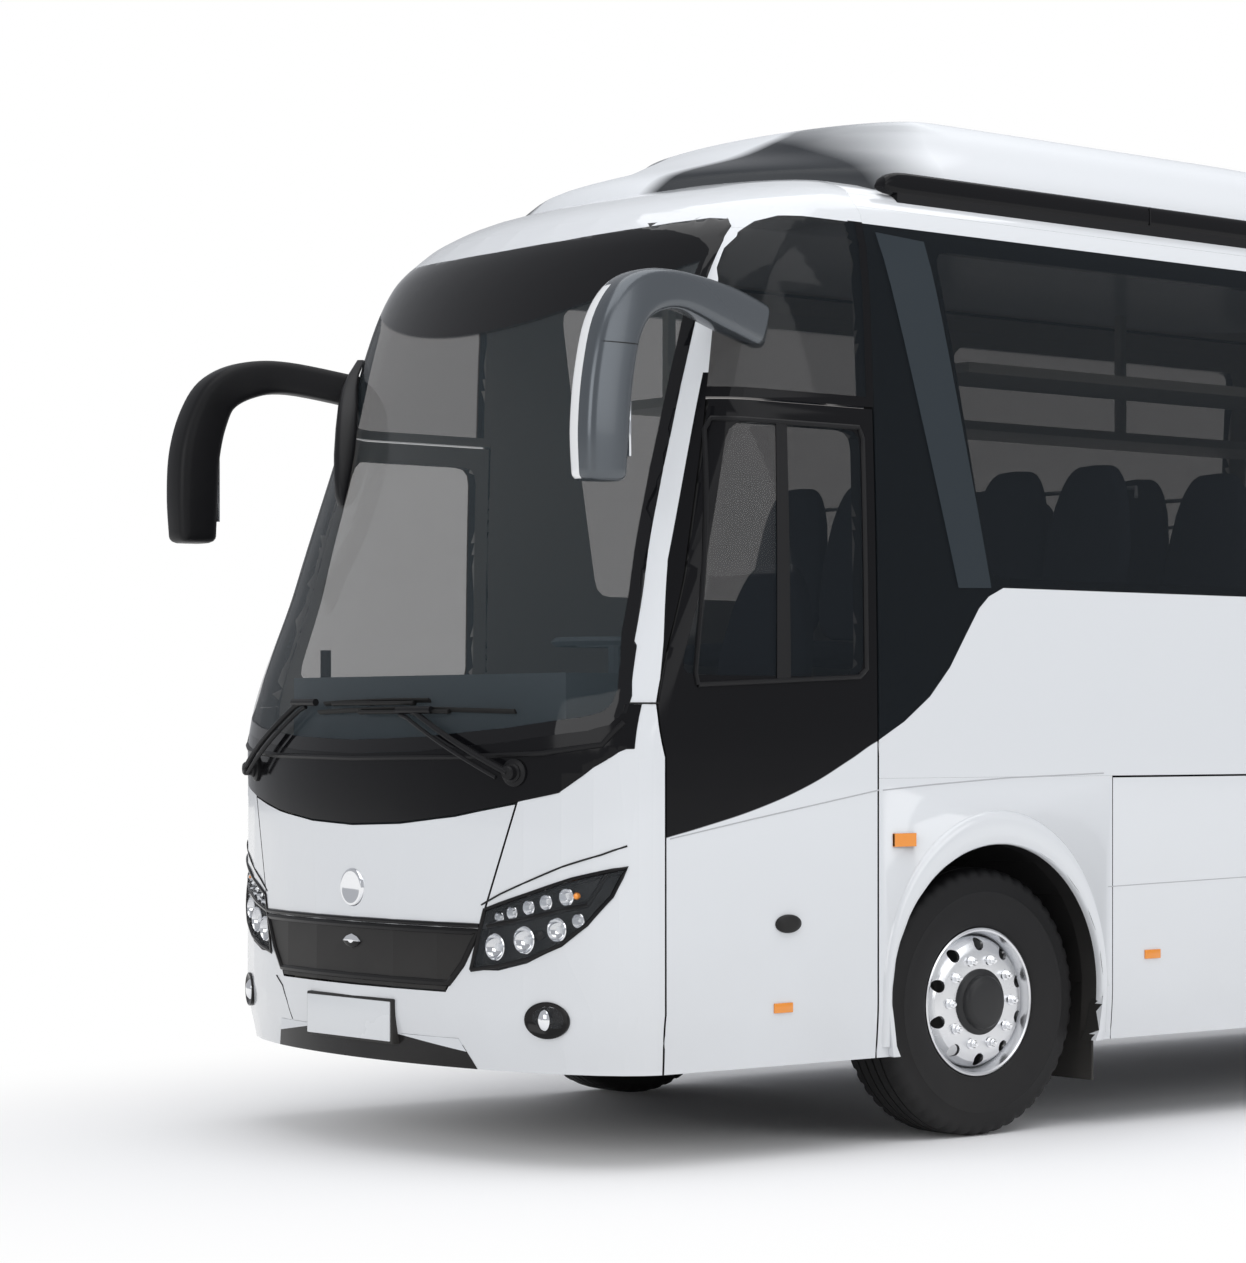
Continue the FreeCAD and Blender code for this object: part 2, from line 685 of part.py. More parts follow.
def both_sides(shape):
    """The shape and its mirror image as one compound."""
    return Part.makeCompound([shape, other_side(shape)])


def solids(shape):
    """A clean compound or single solid of a boolean result."""
    found = shape.Solids
    return found[0] if len(found) == 1 else Part.makeCompound(found)


nose = skins(nose_block)
middle = skins(middle_block)
tail = skins(tail_block)

far_x = size.half_width + size.overrun
near_x = size.half_width / 2
front_y = size.nose_y - size.overrun
back_y = size.tail_y + size.overrun
gap = size.door_gap
bed = size.pane_bed


def door_outline():
    """Side outline of the front doorways."""
    return [
        (size.door_front_y, size.skirt_height - size.overrun),
        (size.door_rear_y, size.skirt_height - size.overrun),
        (size.door_rear_y, size.door_height),
        (size.door_top_y, size.door_height),
        (size.door_front_y, size.door_knee),
    ]


def leaning_y(height):
    """The front line of doors and quarter glass at a height."""
    return size.door_front_y + (height - size.door_knee) * size.door_lean


# Front end of the black glass band: share of the swoosh's length and of its rise.
SWOOSH_SHARES = (
    (0.20, 0.12),
    (0.40, 0.28),
    (0.56, 0.47),
    (0.70, 0.70),
    (0.80, 0.86),
    (0.88, 0.94),
    (1.00, 1.00),
)

doorway_face = side_face(door_outline())
doorway = through_side(doorway_face, near_x, far_x)

# Quarter glass over the front doors: a leaning front line that arcs into the roof line.
QUARTER_LIFT_SHARE = 0.45
QUARTER_BOW_SHARES = (0.30, 0.72)
quarter_low = size.door_height + size.door_frame / 2
quarter_arc_z = quarter_low + (size.head_height - quarter_low) * (1 - QUARTER_LIFT_SHARE)
quarter_arc_y = leaning_y(quarter_arc_z)
quarter_top_y = size.door_rear_y - size.quarter_setback
quarter_mid = (
    quarter_arc_y + (quarter_top_y - quarter_arc_y) * QUARTER_BOW_SHARES[0],
    quarter_arc_z + (size.head_height - quarter_arc_z) * QUARTER_BOW_SHARES[1],
)
quarter_face = side_face(
    [
        (leaning_y(quarter_low), quarter_low),
        (size.door_rear_y - size.door_frame / 2, quarter_low),
        (size.door_rear_y - size.door_frame / 2, size.head_height),
        (quarter_top_y, size.head_height),
        (quarter_arc_y, quarter_arc_z, quarter_mid),
    ]
)


def mask_edge(x):
    """Height of the black front panel's lower edge, an arc across the nose."""
    rise = size.mask_side - size.mask_low
    radius = (size.mask_reach**2 + rise**2) / (2 * rise)
    return size.mask_low + radius - math.sqrt(radius**2 - x**2)


def screen_face():
    """Front outline of the windscreen opening."""
    low = size.screen_half_low
    high = size.screen_half_high
    middle_height = (size.screen_low_side + size.screen_high_side) / 2
    face = front_face(
        [
            (low, size.screen_low_side, (0, size.screen_low)),
            (high, size.screen_high_side, (size.screen_half_mid, middle_height)),
            (-high, size.screen_high_side, (0, size.screen_high)),
            (-low, size.screen_low_side, (-size.screen_half_mid, middle_height)),
        ]
    )
    return softened(face, size.screen_corner)


screen_back_y = size.nose_y + size.screen_rake + size.nose_depth
screen_hole = through_front(screen_face(), front_y, screen_back_y)
screen_cut = through_front(shrunk(screen_face(), bed), front_y, screen_back_y)


def mask_face():
    """Front outline of the black panel under the windscreen, up past the screen's corners."""
    reach = size.mask_reach
    tip = size.screen_half_low + bed
    return front_face(
        [
            (-reach, size.mask_side),
            (reach, size.mask_side, (0, size.mask_low)),
            (tip, (size.mask_side + size.cab_seam) / 2),
            (tip, size.cab_seam - bed),
            (-tip, size.cab_seam - bed),
            (-tip, (size.mask_side + size.cab_seam) / 2),
        ]
    )


def flap_face():
    """Front outline of the opening for lid and grille."""
    top = size.lid_half_top
    side = size.lid_half_low
    low = size.grille_half_low
    return front_face(
        [
            (-low, size.grille_low),
            (low, size.grille_low),
            (side, size.lid_low),
            (top, mask_edge(top) + size.lid_overlap),
            (-top, mask_edge(top) + size.lid_overlap, (0, size.mask_low + size.lid_overlap)),
            (-side, size.lid_low),
        ]
    )


# Headlamp outline in the front view, as shares of the half width and of the roof height.
HEADLAMP_SHARES = (
    (0.521, 0.1934),
    (0.570, 0.2530),
    (0.964, 0.2967, (0.760, 0.2740)),
    (0.521, 0.1934, (0.813, 0.2213)),
)
FOG_LAMP_SHARES = (0.773, 0.1475)
FOG_RADIUS_SHARE = 0.055
FOG_FLAT_SHARE = 0.72


def share_point(entry):
    """A front point from shares of the half width and the roof height."""
    point = (entry[0] * size.half_width, entry[1] * size.roof_height)
    if len(entry) > 2:
        return point + ((entry[2][0] * size.half_width, entry[2][1] * size.roof_height),)
    return point


def headlamp_face():
    """Front outline of the left headlamp: a slanted almond with a blunt inner end."""
    return front_face([share_point(entry) for entry in HEADLAMP_SHARES[1:]])


def fog_face(margin):
    """Front outline of the left fog lamp, a flattened round."""
    across, height = share_point(FOG_LAMP_SHARES)
    reach = FOG_RADIUS_SHARE * size.half_width + margin
    turns = swept(0, 2 * math.pi, round(size.pin_sides))[1:]
    rise = reach * FOG_FLAT_SHARE
    return front_face([(across + reach * math.cos(turn), height + rise * math.sin(turn)) for turn in turns])


nose_end_y = size.door_front_y
mask_back_y = size.door_front_y
headlamp_hole = through_front(headlamp_face(), front_y, nose_end_y)
headlamp_fill = through_front(shrunk(headlamp_face(), bed), front_y, nose_end_y)
fog_hole = through_front(fog_face(bed), front_y, nose_end_y)
fog_fill = through_front(fog_face(0), front_y, nose_end_y)
mask_prism = through_front(mask_face(), front_y, mask_back_y)
flap_prism = through_front(flap_face(), front_y, nose_end_y)
flap_fill = through_front(shrunk(flap_face(), gap), front_y, nose_end_y)
lip_face = front_face(
    [
        (-size.lip_half, size.skirt_height - size.overrun),
        (size.lip_half, size.skirt_height - size.overrun),
        (size.lip_top_half, size.lip_high),
        (-size.lip_top_half, size.lip_high),
    ]
)
lip_prism = through_front(lip_face, front_y, nose_end_y)
lip_fill = through_front(shrunk(lip_face, bed), front_y, nose_end_y)


def slab(low_y, high_y, low_z, high_z):
    """A block across the whole width between two Y and two Z values."""
    corner = Vector(-far_x, low_y, low_z)
    return Part.makeBox(2 * far_x, high_y - low_y, high_z - low_z, corner)


def left_half(low_y, high_y, low_z, high_z):
    """A block over the left half only, between two Y and two Z values."""
    return Part.makeBox(far_x, high_y - low_y, high_z - low_z, Vector(0, low_y, low_z))


def front_fascia():
    """White front panel, with holes for lid, lamps and lip."""
    region = slab(front_y, size.door_front_y - bed, size.skirt_height - size.overrun, size.cab_seam - bed)
    panel = nose["wall"].common(region)
    for tool in (screen_hole, mask_prism, flap_prism, lip_prism, headlamp_hole, fog_hole):
        panel = panel.cut(tool)
    for tool in (headlamp_hole, fog_hole):
        panel = panel.cut(other_side(tool))
    subpart("front_fascia", fixed("front_fascia", solids(panel)))


def front_trim():
    """Black panel under the windscreen and the black lower lip."""
    mask = nose["lid"].common(through_front(shrunk(mask_face(), bed), front_y, mask_back_y))
    mask = mask.cut(screen_hole).cut(flap_prism)
    lip = nose["wall"].common(lip_fill)
    subpart("front_trim", fixed("front_trim", Part.makeCompound(mask.Solids + lip.Solids)))


def front_flap():
    """White lid over the black grille, which open upward together."""
    leaf = nose["lid"].common(flap_fill)
    lid = leaf.common(slab(front_y, nose_end_y, size.lid_low + bed / 2, size.cab_seam))
    grille = leaf.common(slab(front_y, nose_end_y, size.skirt_height, size.lid_low - bed / 2))
    subpart("front_lid", fixed("front_lid", solids(lid)))
    subpart("front_grille", fixed("front_grille", solids(grille)))


def windscreen():
    """One big curved pane."""
    subpart("windscreen", fixed("windscreen", solids(nose["pane"].common(screen_cut))))


def cab_frame():
    """Screen pillars, brow with the front of the roof, and the headers over the front doors."""
    region = slab(front_y, size.door_rear_y, size.cab_seam, size.roof_height + size.overrun)
    frame = nose["wall"].common(region).cut(screen_hole)
    quarter = through_side(quarter_face, near_x, far_x)
    for tool in (doorway, quarter):
        frame = frame.cut(tool).cut(other_side(tool))
    frame = frame.cut(slab(front_y, back_y, size.screen_high, size.screen_high + size.seam_gap))
    subpart("cab_frame", fixed("cab_frame", solids(frame)))


def front_door():
    """Left door leaf with its window cut out, and the glass in it."""
    leaf = nose["wall"].common(through_side(shrunk(doorway_face, gap), near_x, far_x))
    leaf = leaf.common(slab(front_y, size.tail_y, size.skirt_height, size.roof_height))
    low = size.door_glass_low
    high = size.door_glass_high
    opening = side_face(
        [
            (leaning_y(low) + size.door_frame, low),
            (size.door_rear_y - size.door_frame, low),
            (size.door_rear_y - size.door_frame, high),
            (leaning_y(high) + size.door_frame, high),
        ]
    )
    opening = softened(opening, size.glass_corner)
    leaf = leaf.cut(through_side(opening, near_x, far_x))
    return leaf, nose["pane"].common(through_side(shrunk(opening, bed), near_x, far_x))


def front_doors():
    """Driver's door on the left and entrance door on the right."""
    leaf, pane = front_door()
    subpart("driver_door", fixed("driver_door", solids(leaf)))
    subpart("driver_door_glass", fixed("driver_door_glass", solids(pane)))
    subpart("entrance_door", fixed("entrance_door", solids(other_side(leaf))))
    subpart("entrance_door_glass", fixed("entrance_door_glass", solids(other_side(pane))))


def entrance_arm():
    """Upright post beside the entrance with the two arms that carry the door."""
    post = rod("arm_upright", "Z", "-arm_x", "arm_y", "step_low + seam_gap", "arm_radius", "arm_tall")
    pieces = [post]
    eye = "half_width - wall - arm_x - seam_gap"
    for index, level in enumerate(("arm_low", "arm_high")):
        place = ("-arm_x - arm_radius / 2", "arm_y", level)
        pieces.append(box(f"door_arm_{index}", *place, "arm_radius", "arm_length", "arm_radius * 2"))
        end = "arm_y + arm_length"
        pieces.append(prism(f"door_eye_{index}", "Z", "-arm_x", end, level, eye, "arm_radius * 2"))
    subpart("entrance_arm", joined("entrance_arm", pieces))


def window_face(index):
    """Side outline of one fixed window; the first one's front line leans forward."""
    start = size.window_start_y + index * window_pitch()
    end = start + window_pitch() - size.window_post
    high = size.head_height - size.door_frame
    lean = (high - size.sill_height) * size.window_lean if index == 0 else 0
    face = side_face([(start, size.sill_height), (end, size.sill_height), (end, high), (start - lean, high)])
    return softened(face, size.glass_corner)


def glass_band(start, end):
    """Side outline of the black glass band; ahead of the first window it comes down along the swoosh."""
    low = size.sill_height - size.door_frame / 2
    high = size.head_height
    drop = [(start, low)]
    if start == size.door_rear_y:
        foot = size.swoosh_foot
        drop = [(start, foot)]
        for along, rise in SWOOSH_SHARES:
            drop.append((start + along * size.swoosh_length, foot + rise * (low - foot)))
    return side_face(drop + [(end, low), (end, high), (start, high)])


def arch_half():
    """Half length of a wheel arch opening at the skirt's lower edge."""
    return math.sqrt(size.arch_radius**2 - (size.arch_centre - size.skirt_height) ** 2)


def arch_prism(axle_y):
    """Cutting body of a wheel arch."""
    disc = through_side(oval_face(size.arch_radius, size.arch_radius, axle_y), near_x, far_x)
    under = Part.makeBox(
        far_x - near_x,
        2 * arch_half(),
        size.skirt_height,
        Vector(near_x, axle_y - arch_half(), 0),
    )
    return disc.fuse(under)


def flare(axle_y):
    """Raised lip round a wheel arch."""
    face = oval_face(size.flare_reach, size.flare_height, axle_y)
    ring = through_side(face, size.half_width - size.arch_lip, size.half_width + size.arch_lip)
    return ring.common(left_half(front_y, size.tail_y, size.skirt_height, size.roof_height))


def oval_face(reach, height, axle_y):
    """An oval in short runs about a wheel arch's centre, seen from the side."""
    turns = swept(0, 2 * math.pi, round(size.arch_runs) * 2)[1:]
    points = [(reach * math.cos(turn), height * math.sin(turn)) for turn in turns]
    return side_face([(axle_y + along, size.arch_centre + up) for along, up in points])


def side_walls():
    """Upper side walls with waist panel, posts and cantrail."""
    start = size.door_rear_y + bed
    region = left_half(start, size.cap_front_y - bed, size.crease_height, size.roof_seam - bed)
    wall = middle["wall"].common(region)
    for index in range(round(size.window_count)):
        wall = wall.cut(through_side(window_face(index), near_x, far_x))
    band = glass_band(size.door_rear_y, size.cap_front_y)
    wall = wall.cut(middle["bed"].common(through_side(band, near_x, far_x)))
    subpart("side_walls", fixed("side_walls", both_sides(solids(wall))))


def window_pitch():
    """Distance from one fixed window to the next."""
    return (size.window_end_y - size.window_start_y + size.window_post) / round(size.window_count)


def window_panes():
    """Bonded side glass, quarter glass and rear window."""
    panes = []
    count = round(size.window_count)
    first = size.window_start_y - size.window_post / 2
    for index in range(count):
        start = first + index * window_pitch() if index else size.door_rear_y
        end = first + (index + 1) * window_pitch() if index < count - 1 else size.cap_front_y
        face = shrunk(glass_band(start, end), bed)
        panes.append(middle["pane"].common(through_side(face, near_x, far_x)))
    panes.append(nose["pane"].common(through_side(shrunk(quarter_face, bed), near_x, far_x)))
    found = [solid for pane in panes for side in (pane, other_side(pane)) for solid in side.Solids]
    rear = tail["pane"].common(through_front(shrunk(rear_glass_face(), bed), size.rear_axle_y, back_y))
    subpart("window_glass", fixed("window_glass", Part.makeCompound(found + rear.Solids)))


def upright_face(low_x, high_x, low_z, high_z):
    """A rectangle in the XZ plane."""
    return front_face([(low_x, low_z), (high_x, low_z), (high_x, high_z), (low_x, high_z)])


def rear_glass_face():
    """Outline of the rear window seen from behind."""
    half = size.rear_glass_half
    return upright_face(-half, half, size.rear_glass_low, size.rear_glass_high)


def hatch_face():
    """Outline of the engine hatch seen from behind."""
    return upright_face(-size.hatch_half, size.hatch_half, size.hatch_low, size.hatch_high)


def tail_lamp_face():
    """Outline of the left tail lamp column seen from behind."""
    inner = size.hatch_half + size.lamp_margin
    return upright_face(
        inner,
        inner + size.tail_lamp_width,
        size.hatch_low + size.lamp_margin,
        size.hatch_high - size.lamp_margin,
    )


def rear_panel():
    """Rear wall, its two corner panels and the roof's end, round window, hatch and tail lamps."""
    above = size.roof_height + size.overrun
    panel = tail["wall"].common(slab(size.cap_front_y, back_y, size.skirt_height, above))
    for face in (rear_glass_face(), hatch_face()):
        panel = panel.cut(through_front(face, size.rear_axle_y, back_y))
    pocket = tail["bed"].common(through_front(tail_lamp_face(), size.rear_axle_y, back_y))
    panel = panel.cut(pocket).cut(other_side(pocket))
    socket = Vector(size.tow_x, size.cap_front_y, size.tow_height)
    bore = Part.makeCylinder(size.tow_radius, size.tail_cap + size.overrun, socket, Vector(0, 1, 0))
    panel = panel.cut(bore)
    panel = panel.cut(slab(front_y, back_y, size.roof_seam, size.roof_seam + size.seam_gap))
    corner = size.half_width - size.tail_corner - size.door_gap
    joint = Part.makeBox(size.seam_gap, size.tail_cap, size.roof_seam, Vector(corner, size.cap_front_y, 0))
    panel = panel.cut(joint).cut(other_side(joint))
    subpart("rear_panel", fixed("rear_panel", solids(panel)))
    hatch = tail["wall"].common(through_front(shrunk(hatch_face(), gap), size.rear_axle_y, back_y))
    subpart("engine_hatch", fixed("engine_hatch", solids(hatch)))
    lamp = tail["pane"].common(through_front(shrunk(tail_lamp_face(), bed), size.rear_axle_y, back_y))
    subpart("tail_lamps", fixed("tail_lamps", both_sides(solids(lamp))))


def roof_shell():
    """Roof skin above the side walls."""
    above = size.roof_height + size.overrun
    region = slab(size.door_rear_y + bed, size.cap_front_y - bed, size.roof_seam, above)
    subpart("roof_shell", fixed("roof_shell", solids(middle["wall"].common(region))))


# Roof dome: height (of its rise over the roof seam), set-back (of that rise), half width,
# nose depth (of the half width) and rear set-back (of the dome's length).
DOME_SHARES = (
    (0.00, 0.00, 1.000, 0.51, 0.00),
    (0.35, 0.31, 0.947, 0.89, 0.02),
    (0.62, 1.12, 0.887, 0.82, 0.05),
    (0.82, 1.63, 0.833, 0.53, 0.10),
    (0.94, 2.00, 0.767, 0.29, 0.36),
    (1.00, 3.63, 0.645, 0.29, 0.50),
)


def dome_level(height, half, front, back, depth):
    """Plan outline of the dome, round at both ends."""
    runs = round(size.dome_runs)
    near_end = bend(Vector(0, front + depth, height), half, depth, swept(math.pi, 2 * math.pi, runs))
    far_end = bend(Vector(0, back - depth, height), half, depth, swept(0, math.pi, runs))
    return near_end + far_end


def roof_dome():
    """Long rounded fairing on the roof."""
    rise = size.dome_height - size.roof_seam
    front = size.nose_y + size.dome_front
    levels = []
    for height, setback, width, depth, rear in DOME_SHARES:
        levels.append(
            dome_level(
                size.roof_seam + height * rise,
                width * size.dome_half,
                front + setback * rise,
                front + size.dome_length * (1 - rear),
                depth * size.dome_half,
            )
        )
    dome = banded(levels).cut(nose_block(-bed)).cut(middle_block(-bed))
    subpart("roof_dome", fixed("roof_dome", solids(dome)))


def roof_rails():
    """Black rails along the roof's shoulders."""
    bar = Part.makeBox(
        size.rail_wide,
        size.tail_y - size.rail_tail - size.nose_y - size.rail_start,
        size.roof_height + size.rail_rise - size.roof_seam,
        Vector(size.rail_x, size.nose_y + size.rail_start, size.roof_seam),
    )
    bar = solids(bar.cut(middle_block(-bed)))
    subpart("roof_rails", fixed("roof_rails", both_sides(bar)))


def skirt_panels():
    """Fixed lower side panels round the wheels, with the flared arch lips."""
    panels = []
    spans = (
        (size.door_rear_y + bed, size.bay_front_y - bed, size.front_axle_y),
        (size.bay_rear_y + bed, size.cap_front_y - bed, size.rear_axle_y),
    )
    for low_y, high_y, axle_y in spans:
        region = left_half(low_y, high_y, size.skirt_height, size.crease_height - bed)
        panel = middle["wall"].common(region).fuse(flare(axle_y).common(region))
        panel = panel.cut(arch_prism(axle_y))
        panels.extend(panel.Solids)
        panels.extend(other_side(panel).Solids)
    subpart("skirt_panels", fixed("skirt_panels", Part.makeCompound(panels)))


def wheel_liners():
    """Curved liners between the wheels and the floor."""
    liners = []
    inner = size.arch_radius + size.liner_gap
    outer = inner + size.liner
    for axle_y in (size.front_axle_y, size.rear_axle_y):
        full = through_side(oval_face(outer, outer, axle_y), size.liner_x, size.half_width - size.wall - bed)
        hollow = through_side(oval_face(inner, inner, axle_y), near_x / 2, far_x)
        ring = full.cut(hollow).common(left_half(front_y, size.tail_y, size.arch_centre, size.roof_height))
        liners.extend([ring, other_side(ring)])
    subpart("wheel_liners", fixed("wheel_liners", Part.makeCompound(liners)))


def luggage_doors():
    """Flaps of the luggage bay, between the wheels."""
    count = round(size.bay_doors)
    pitch = (size.bay_rear_y - size.bay_front_y) / count
    for index in range(count):
        low_y = size.bay_front_y + index * pitch + gap / 2
        region = left_half(low_y, low_y + pitch - gap, size.skirt_height, size.crease_height - gap)
        door = solids(middle["wall"].common(region))
        for side, shape in (("left", door), ("right", other_side(door))):
            node = f"{side}_luggage_door_{index + 1}"
            subpart(node, fixed(node, solids(shape)))


def pair_of(shape):
    """The solids of a shape and of its mirror image."""
    return list(shape.Solids) + list(other_side(shape).Solids)


def lamps():
    """Headlamp and fog lamp housings, and their clear lenses."""
    whole = nose_block(size.pane + size.pane_bed)
    depth = whole.cut(nose_block(size.pane + size.lamp_depth))
    hollow_depth = whole.cut(nose_block(size.pane + size.lamp_depth - size.lamp_wall))
    hollow = through_front(shrunk(headlamp_face(), size.lamp_wall), front_y, nose_end_y)
    tray = depth.common(headlamp_fill).cut(hollow_depth.common(hollow))
    fog = depth.common(fog_fill)
    subpart("lamp_housings", fixed("lamp_housings", Part.makeCompound(pair_of(tray) + pair_of(fog))))
    lens = nose["pane"].common(headlamp_fill)
    fog_lens = nose["pane"].common(fog_fill)
    subpart("lamp_lenses", fixed("lamp_lenses", Part.makeCompound(pair_of(lens) + pair_of(fog_lens))))


def octagon(centre, direction, wide, tall):
    """Corners of an eight-sided section square to a direction, for swept arms."""
    side = Vector(0, 0, 1).cross(direction)
    if side.Length < NEAR:
        side = Vector(1, 0, 0)
    side.normalize()
    up = direction.cross(side)
    up.normalize()
    points = []
    step = 2 * math.pi / OCTAGON_SIDES
    for angle in swept(0, 2 * math.pi, OCTAGON_SIDES)[1:]:
        turn = angle - step / 2
        points.append(centre + side * (wide / 2 * math.cos(turn)) + up * (tall / 2 * math.sin(turn)))
    return points


def beside(items):
    """Each item of a list with the one before it and the one after it."""
    return list(zip(items, items[:1] + items[:-1], items[1:] + items[-1:]))


# Mirror: each station is out (of the arm's reach), forward and down (of the arm's drop), wide, tall.
MIRROR_SHARES = (
    (0.00, 0.00, 0.02, 0.80, 1.10),
    (0.25, 0.30, -0.03, 0.80, 1.00),
    (0.50, 0.62, -0.05, 0.85, 0.95),
    (0.80, 0.86, 0.03, 0.95, 0.95),
    (0.95, 0.97, 0.22, 1.00, 1.00),
    (1.00, 1.00, 0.50, 1.00, 1.10),
    (1.00, 1.00, 1.00, 0.85, 0.95),
)


def mirrors():
    """Rabbit-ear mirrors: an arm from the quarter glass that bends down into the mirror head."""
    base = Vector(size.mirror_foot_x, size.nose_y + size.mirror_foot, size.mirror_height)
    stations = []
    for out, forward, down, wide, tall in MIRROR_SHARES:
        point = base + Vector(out * size.mirror_out, -forward * size.mirror_reach, -down * size.mirror_drop)
        stations.append((point, wide * size.mirror_wide, tall * size.mirror_tall))
    rings = []
    for (point, wide, tall), before, after in beside(stations):
        rings.append(octagon(point, (after[0] - before[0]).normalize(), wide, tall))
    arm = banded(rings).cut(nose_block(-bed))
    subpart("mirrors", fixed("mirrors", both_sides(solids(arm))))


# Wiper arm: share of the way from the pivot to the tip across, and the same share upward.
WIPER_SHARES = ((0.0, 0.0), (0.3, 0.45), (0.65, 0.85), (1.0, 1.0))


def wipers():
    """Two wiper arms that rest low across the windscreen."""
    pieces = []
    for side in (-1, 1):
        points = []
        for across, upward in WIPER_SHARES:
            x = side * (size.wiper_pivot + (size.wiper_tip - size.wiper_pivot) * across)
            z = size.wiper_foot + (size.wiper_rest - size.wiper_foot) * upward
            points.append(Vector(x, nose_line(x, z) - size.wiper_stand, z))
        start = points[0] + Vector(0, -size.wiper_rod, 0)
        boss_wide = size.wiper_boss * 2
        end = start + Vector(0, size.wiper_stand + size.wiper_boss, 0)
        boss = banded([octagon(point, Vector(0, 1, 0), boss_wide, boss_wide) for point in (start, end)])
        arm = boss.cut(nose_block(-bed))
        rings = []
        for point, before, after in beside(points):
            rings.append(octagon(point, (after - before).normalize(), size.wiper_rod * 2, size.wiper_rod * 2))
        arm = arm.fuse(banded(rings))
        pieces.append(max(arm.Solids, key=lambda solid: solid.Volume))
    subpart("wipers", fixed("wipers", Part.makeCompound(pieces)))


def nose_line(x, height):
    """Y of the outer skin on the nose at a given X and height."""
    rows = [level_sizes(share_row, 0) for share_row in BODY_SHARES]
    for low, high in zip(rows, rows[1:]):
        if low[0] <= height <= high[0]:
            share = (height - low[0]) / (high[0] - low[0])
            level = [start + (end - start) * share for start, end in zip(low, high)]
            height, half, front, depth, *rest = level
            return front + depth - depth * math.cos(math.asin(x / half))
    return size.nose_y


CROSS_COUNT = 3


def subframe(name, start, end, cross_end):
    """Two frame rails with cross members between a start and a cross end."""
    length = f"({end}) - ({start})"
    reach = f"({cross_end}) - ({start}) - rail_width"
    pieces = [
        box(f"{name}_left", "rail_half - rail_width", start, "rail_low", "rail_width", length, "rail_depth"),
        box(f"{name}_right", "-rail_half", start, "rail_low", "rail_width", length, "rail_depth"),
    ]
    cross = "(rail_half - rail_width - seam_gap) * 2"
    for step in range(CROSS_COUNT):
        y = f"({start}) + ({reach}) * {step} / {CROSS_COUNT - 1}"
        low = "rail_low + rail_depth / 2 - rail_depth / 2 / 2"
        across = f"-({cross}) / 2"
        pieces.append(box(f"{name}_cross_{step}", across, y, low, cross, "rail_width", "rail_depth / 2"))
    return pieces


def chassis_frame():
    """Front and rear subframes."""
    front_end = "bay_front_y - seam_gap"
    pieces = subframe("front_subframe", "nose_y + frame_front", front_end, front_end)
    rear_end = "engine_front_y + engine_length"
    pieces.extend(subframe("rear_subframe", "bay_rear_y + seam_gap", rear_end, "engine_front_y - seam_gap"))
    subpart("chassis_frame", group("chassis_frame", pieces))


def stairs():
    """Closed steps from the entrance up to the driver's platform, with their side plate and back plate."""
    pieces = []
    count = round(size.step_count)
    run = f"(floor_half - stair_x - floor_plate) / {count}"
    length = "deck_y - door_front_y - seam_gap"
    for index in range(count):
        out = f"-floor_half + ({run}) * {index}"
        top = f"step_low + (platform_height - step_low) * {index} / {count}"
        low = f"step_low - floor_plate + ({top} - step_low) / 2"
        rise = f"({top}) - ({low})"
        pieces.append(box(f"step_{index}", out, "door_front_y", low, f"({run}) - seam_gap", length, rise))
    side = "-stair_x - floor_plate"
    tall = "platform_height - step_low + floor_plate"
    low = "step_low - floor_plate"
    pieces.append(box("stair_side", side, "door_front_y", low, "floor_plate", length, tall))
    back = "platform_height - step_low"
    width = "floor_half - stair_x"
    pieces.append(box("stair_back", "-floor_half", "deck_y", low, width, "floor_plate / 2", back))
    return pieces


def cabin_floor():
    """Passenger deck, driver's platform, stairs, and the luggage bay's floor with its bulkheads."""
    width = "floor_half * 2"
    deck_low = "deck_height - floor_plate"
    platform_low = "platform_height - floor_plate"
    platform_start = "nose_y + platform_front"
    across = "stair_x + floor_half - seam_gap"
    inner = "-stair_x + seam_gap"
    long = "deck_y - seam_gap - nose_y - platform_front"
    bay_long = "bay_rear_y - bay_front_y"
    bay_plate = "bay_floor - floor_plate"
    bay_end = "bay_rear_y - floor_plate"
    bay_low = "bay_floor + seam_gap"
    bulkhead = f"{deck_low} - bay_floor - seam_gap * 2"
    riser = f"{deck_low} - ({platform_low}) - seam_gap"
    pieces = [
        box("deck", "-deck_half", "deck_y", deck_low, "deck_half * 2", "cap_front_y - deck_y", "floor_plate"),
        box("platform", inner, platform_start, platform_low, across, long, "floor_plate"),
        box("riser", "-floor_half", "deck_y", platform_low, width, "floor_plate / 2", riser),
        box("bay_plate", "-floor_half", "bay_front_y", bay_plate, width, bay_long, "floor_plate"),
        box("bay_wall_front", "-floor_half", "bay_front_y", bay_low, width, "floor_plate", bulkhead),
        box("bay_wall_rear", "-floor_half", bay_end, bay_low, width, "floor_plate", bulkhead),
    ]
    subpart("cabin_floor", group("cabin_floor", pieces + stairs()))


def engine():
    """Engine and gearbox as one plain block at the rear."""
    centre = "engine_front_y + engine_length / 2"
    subpart(
        "engine",
        middle_box("engine", 0, centre, "engine_low", "engine_width", "engine_length", "engine_tall"),
    )


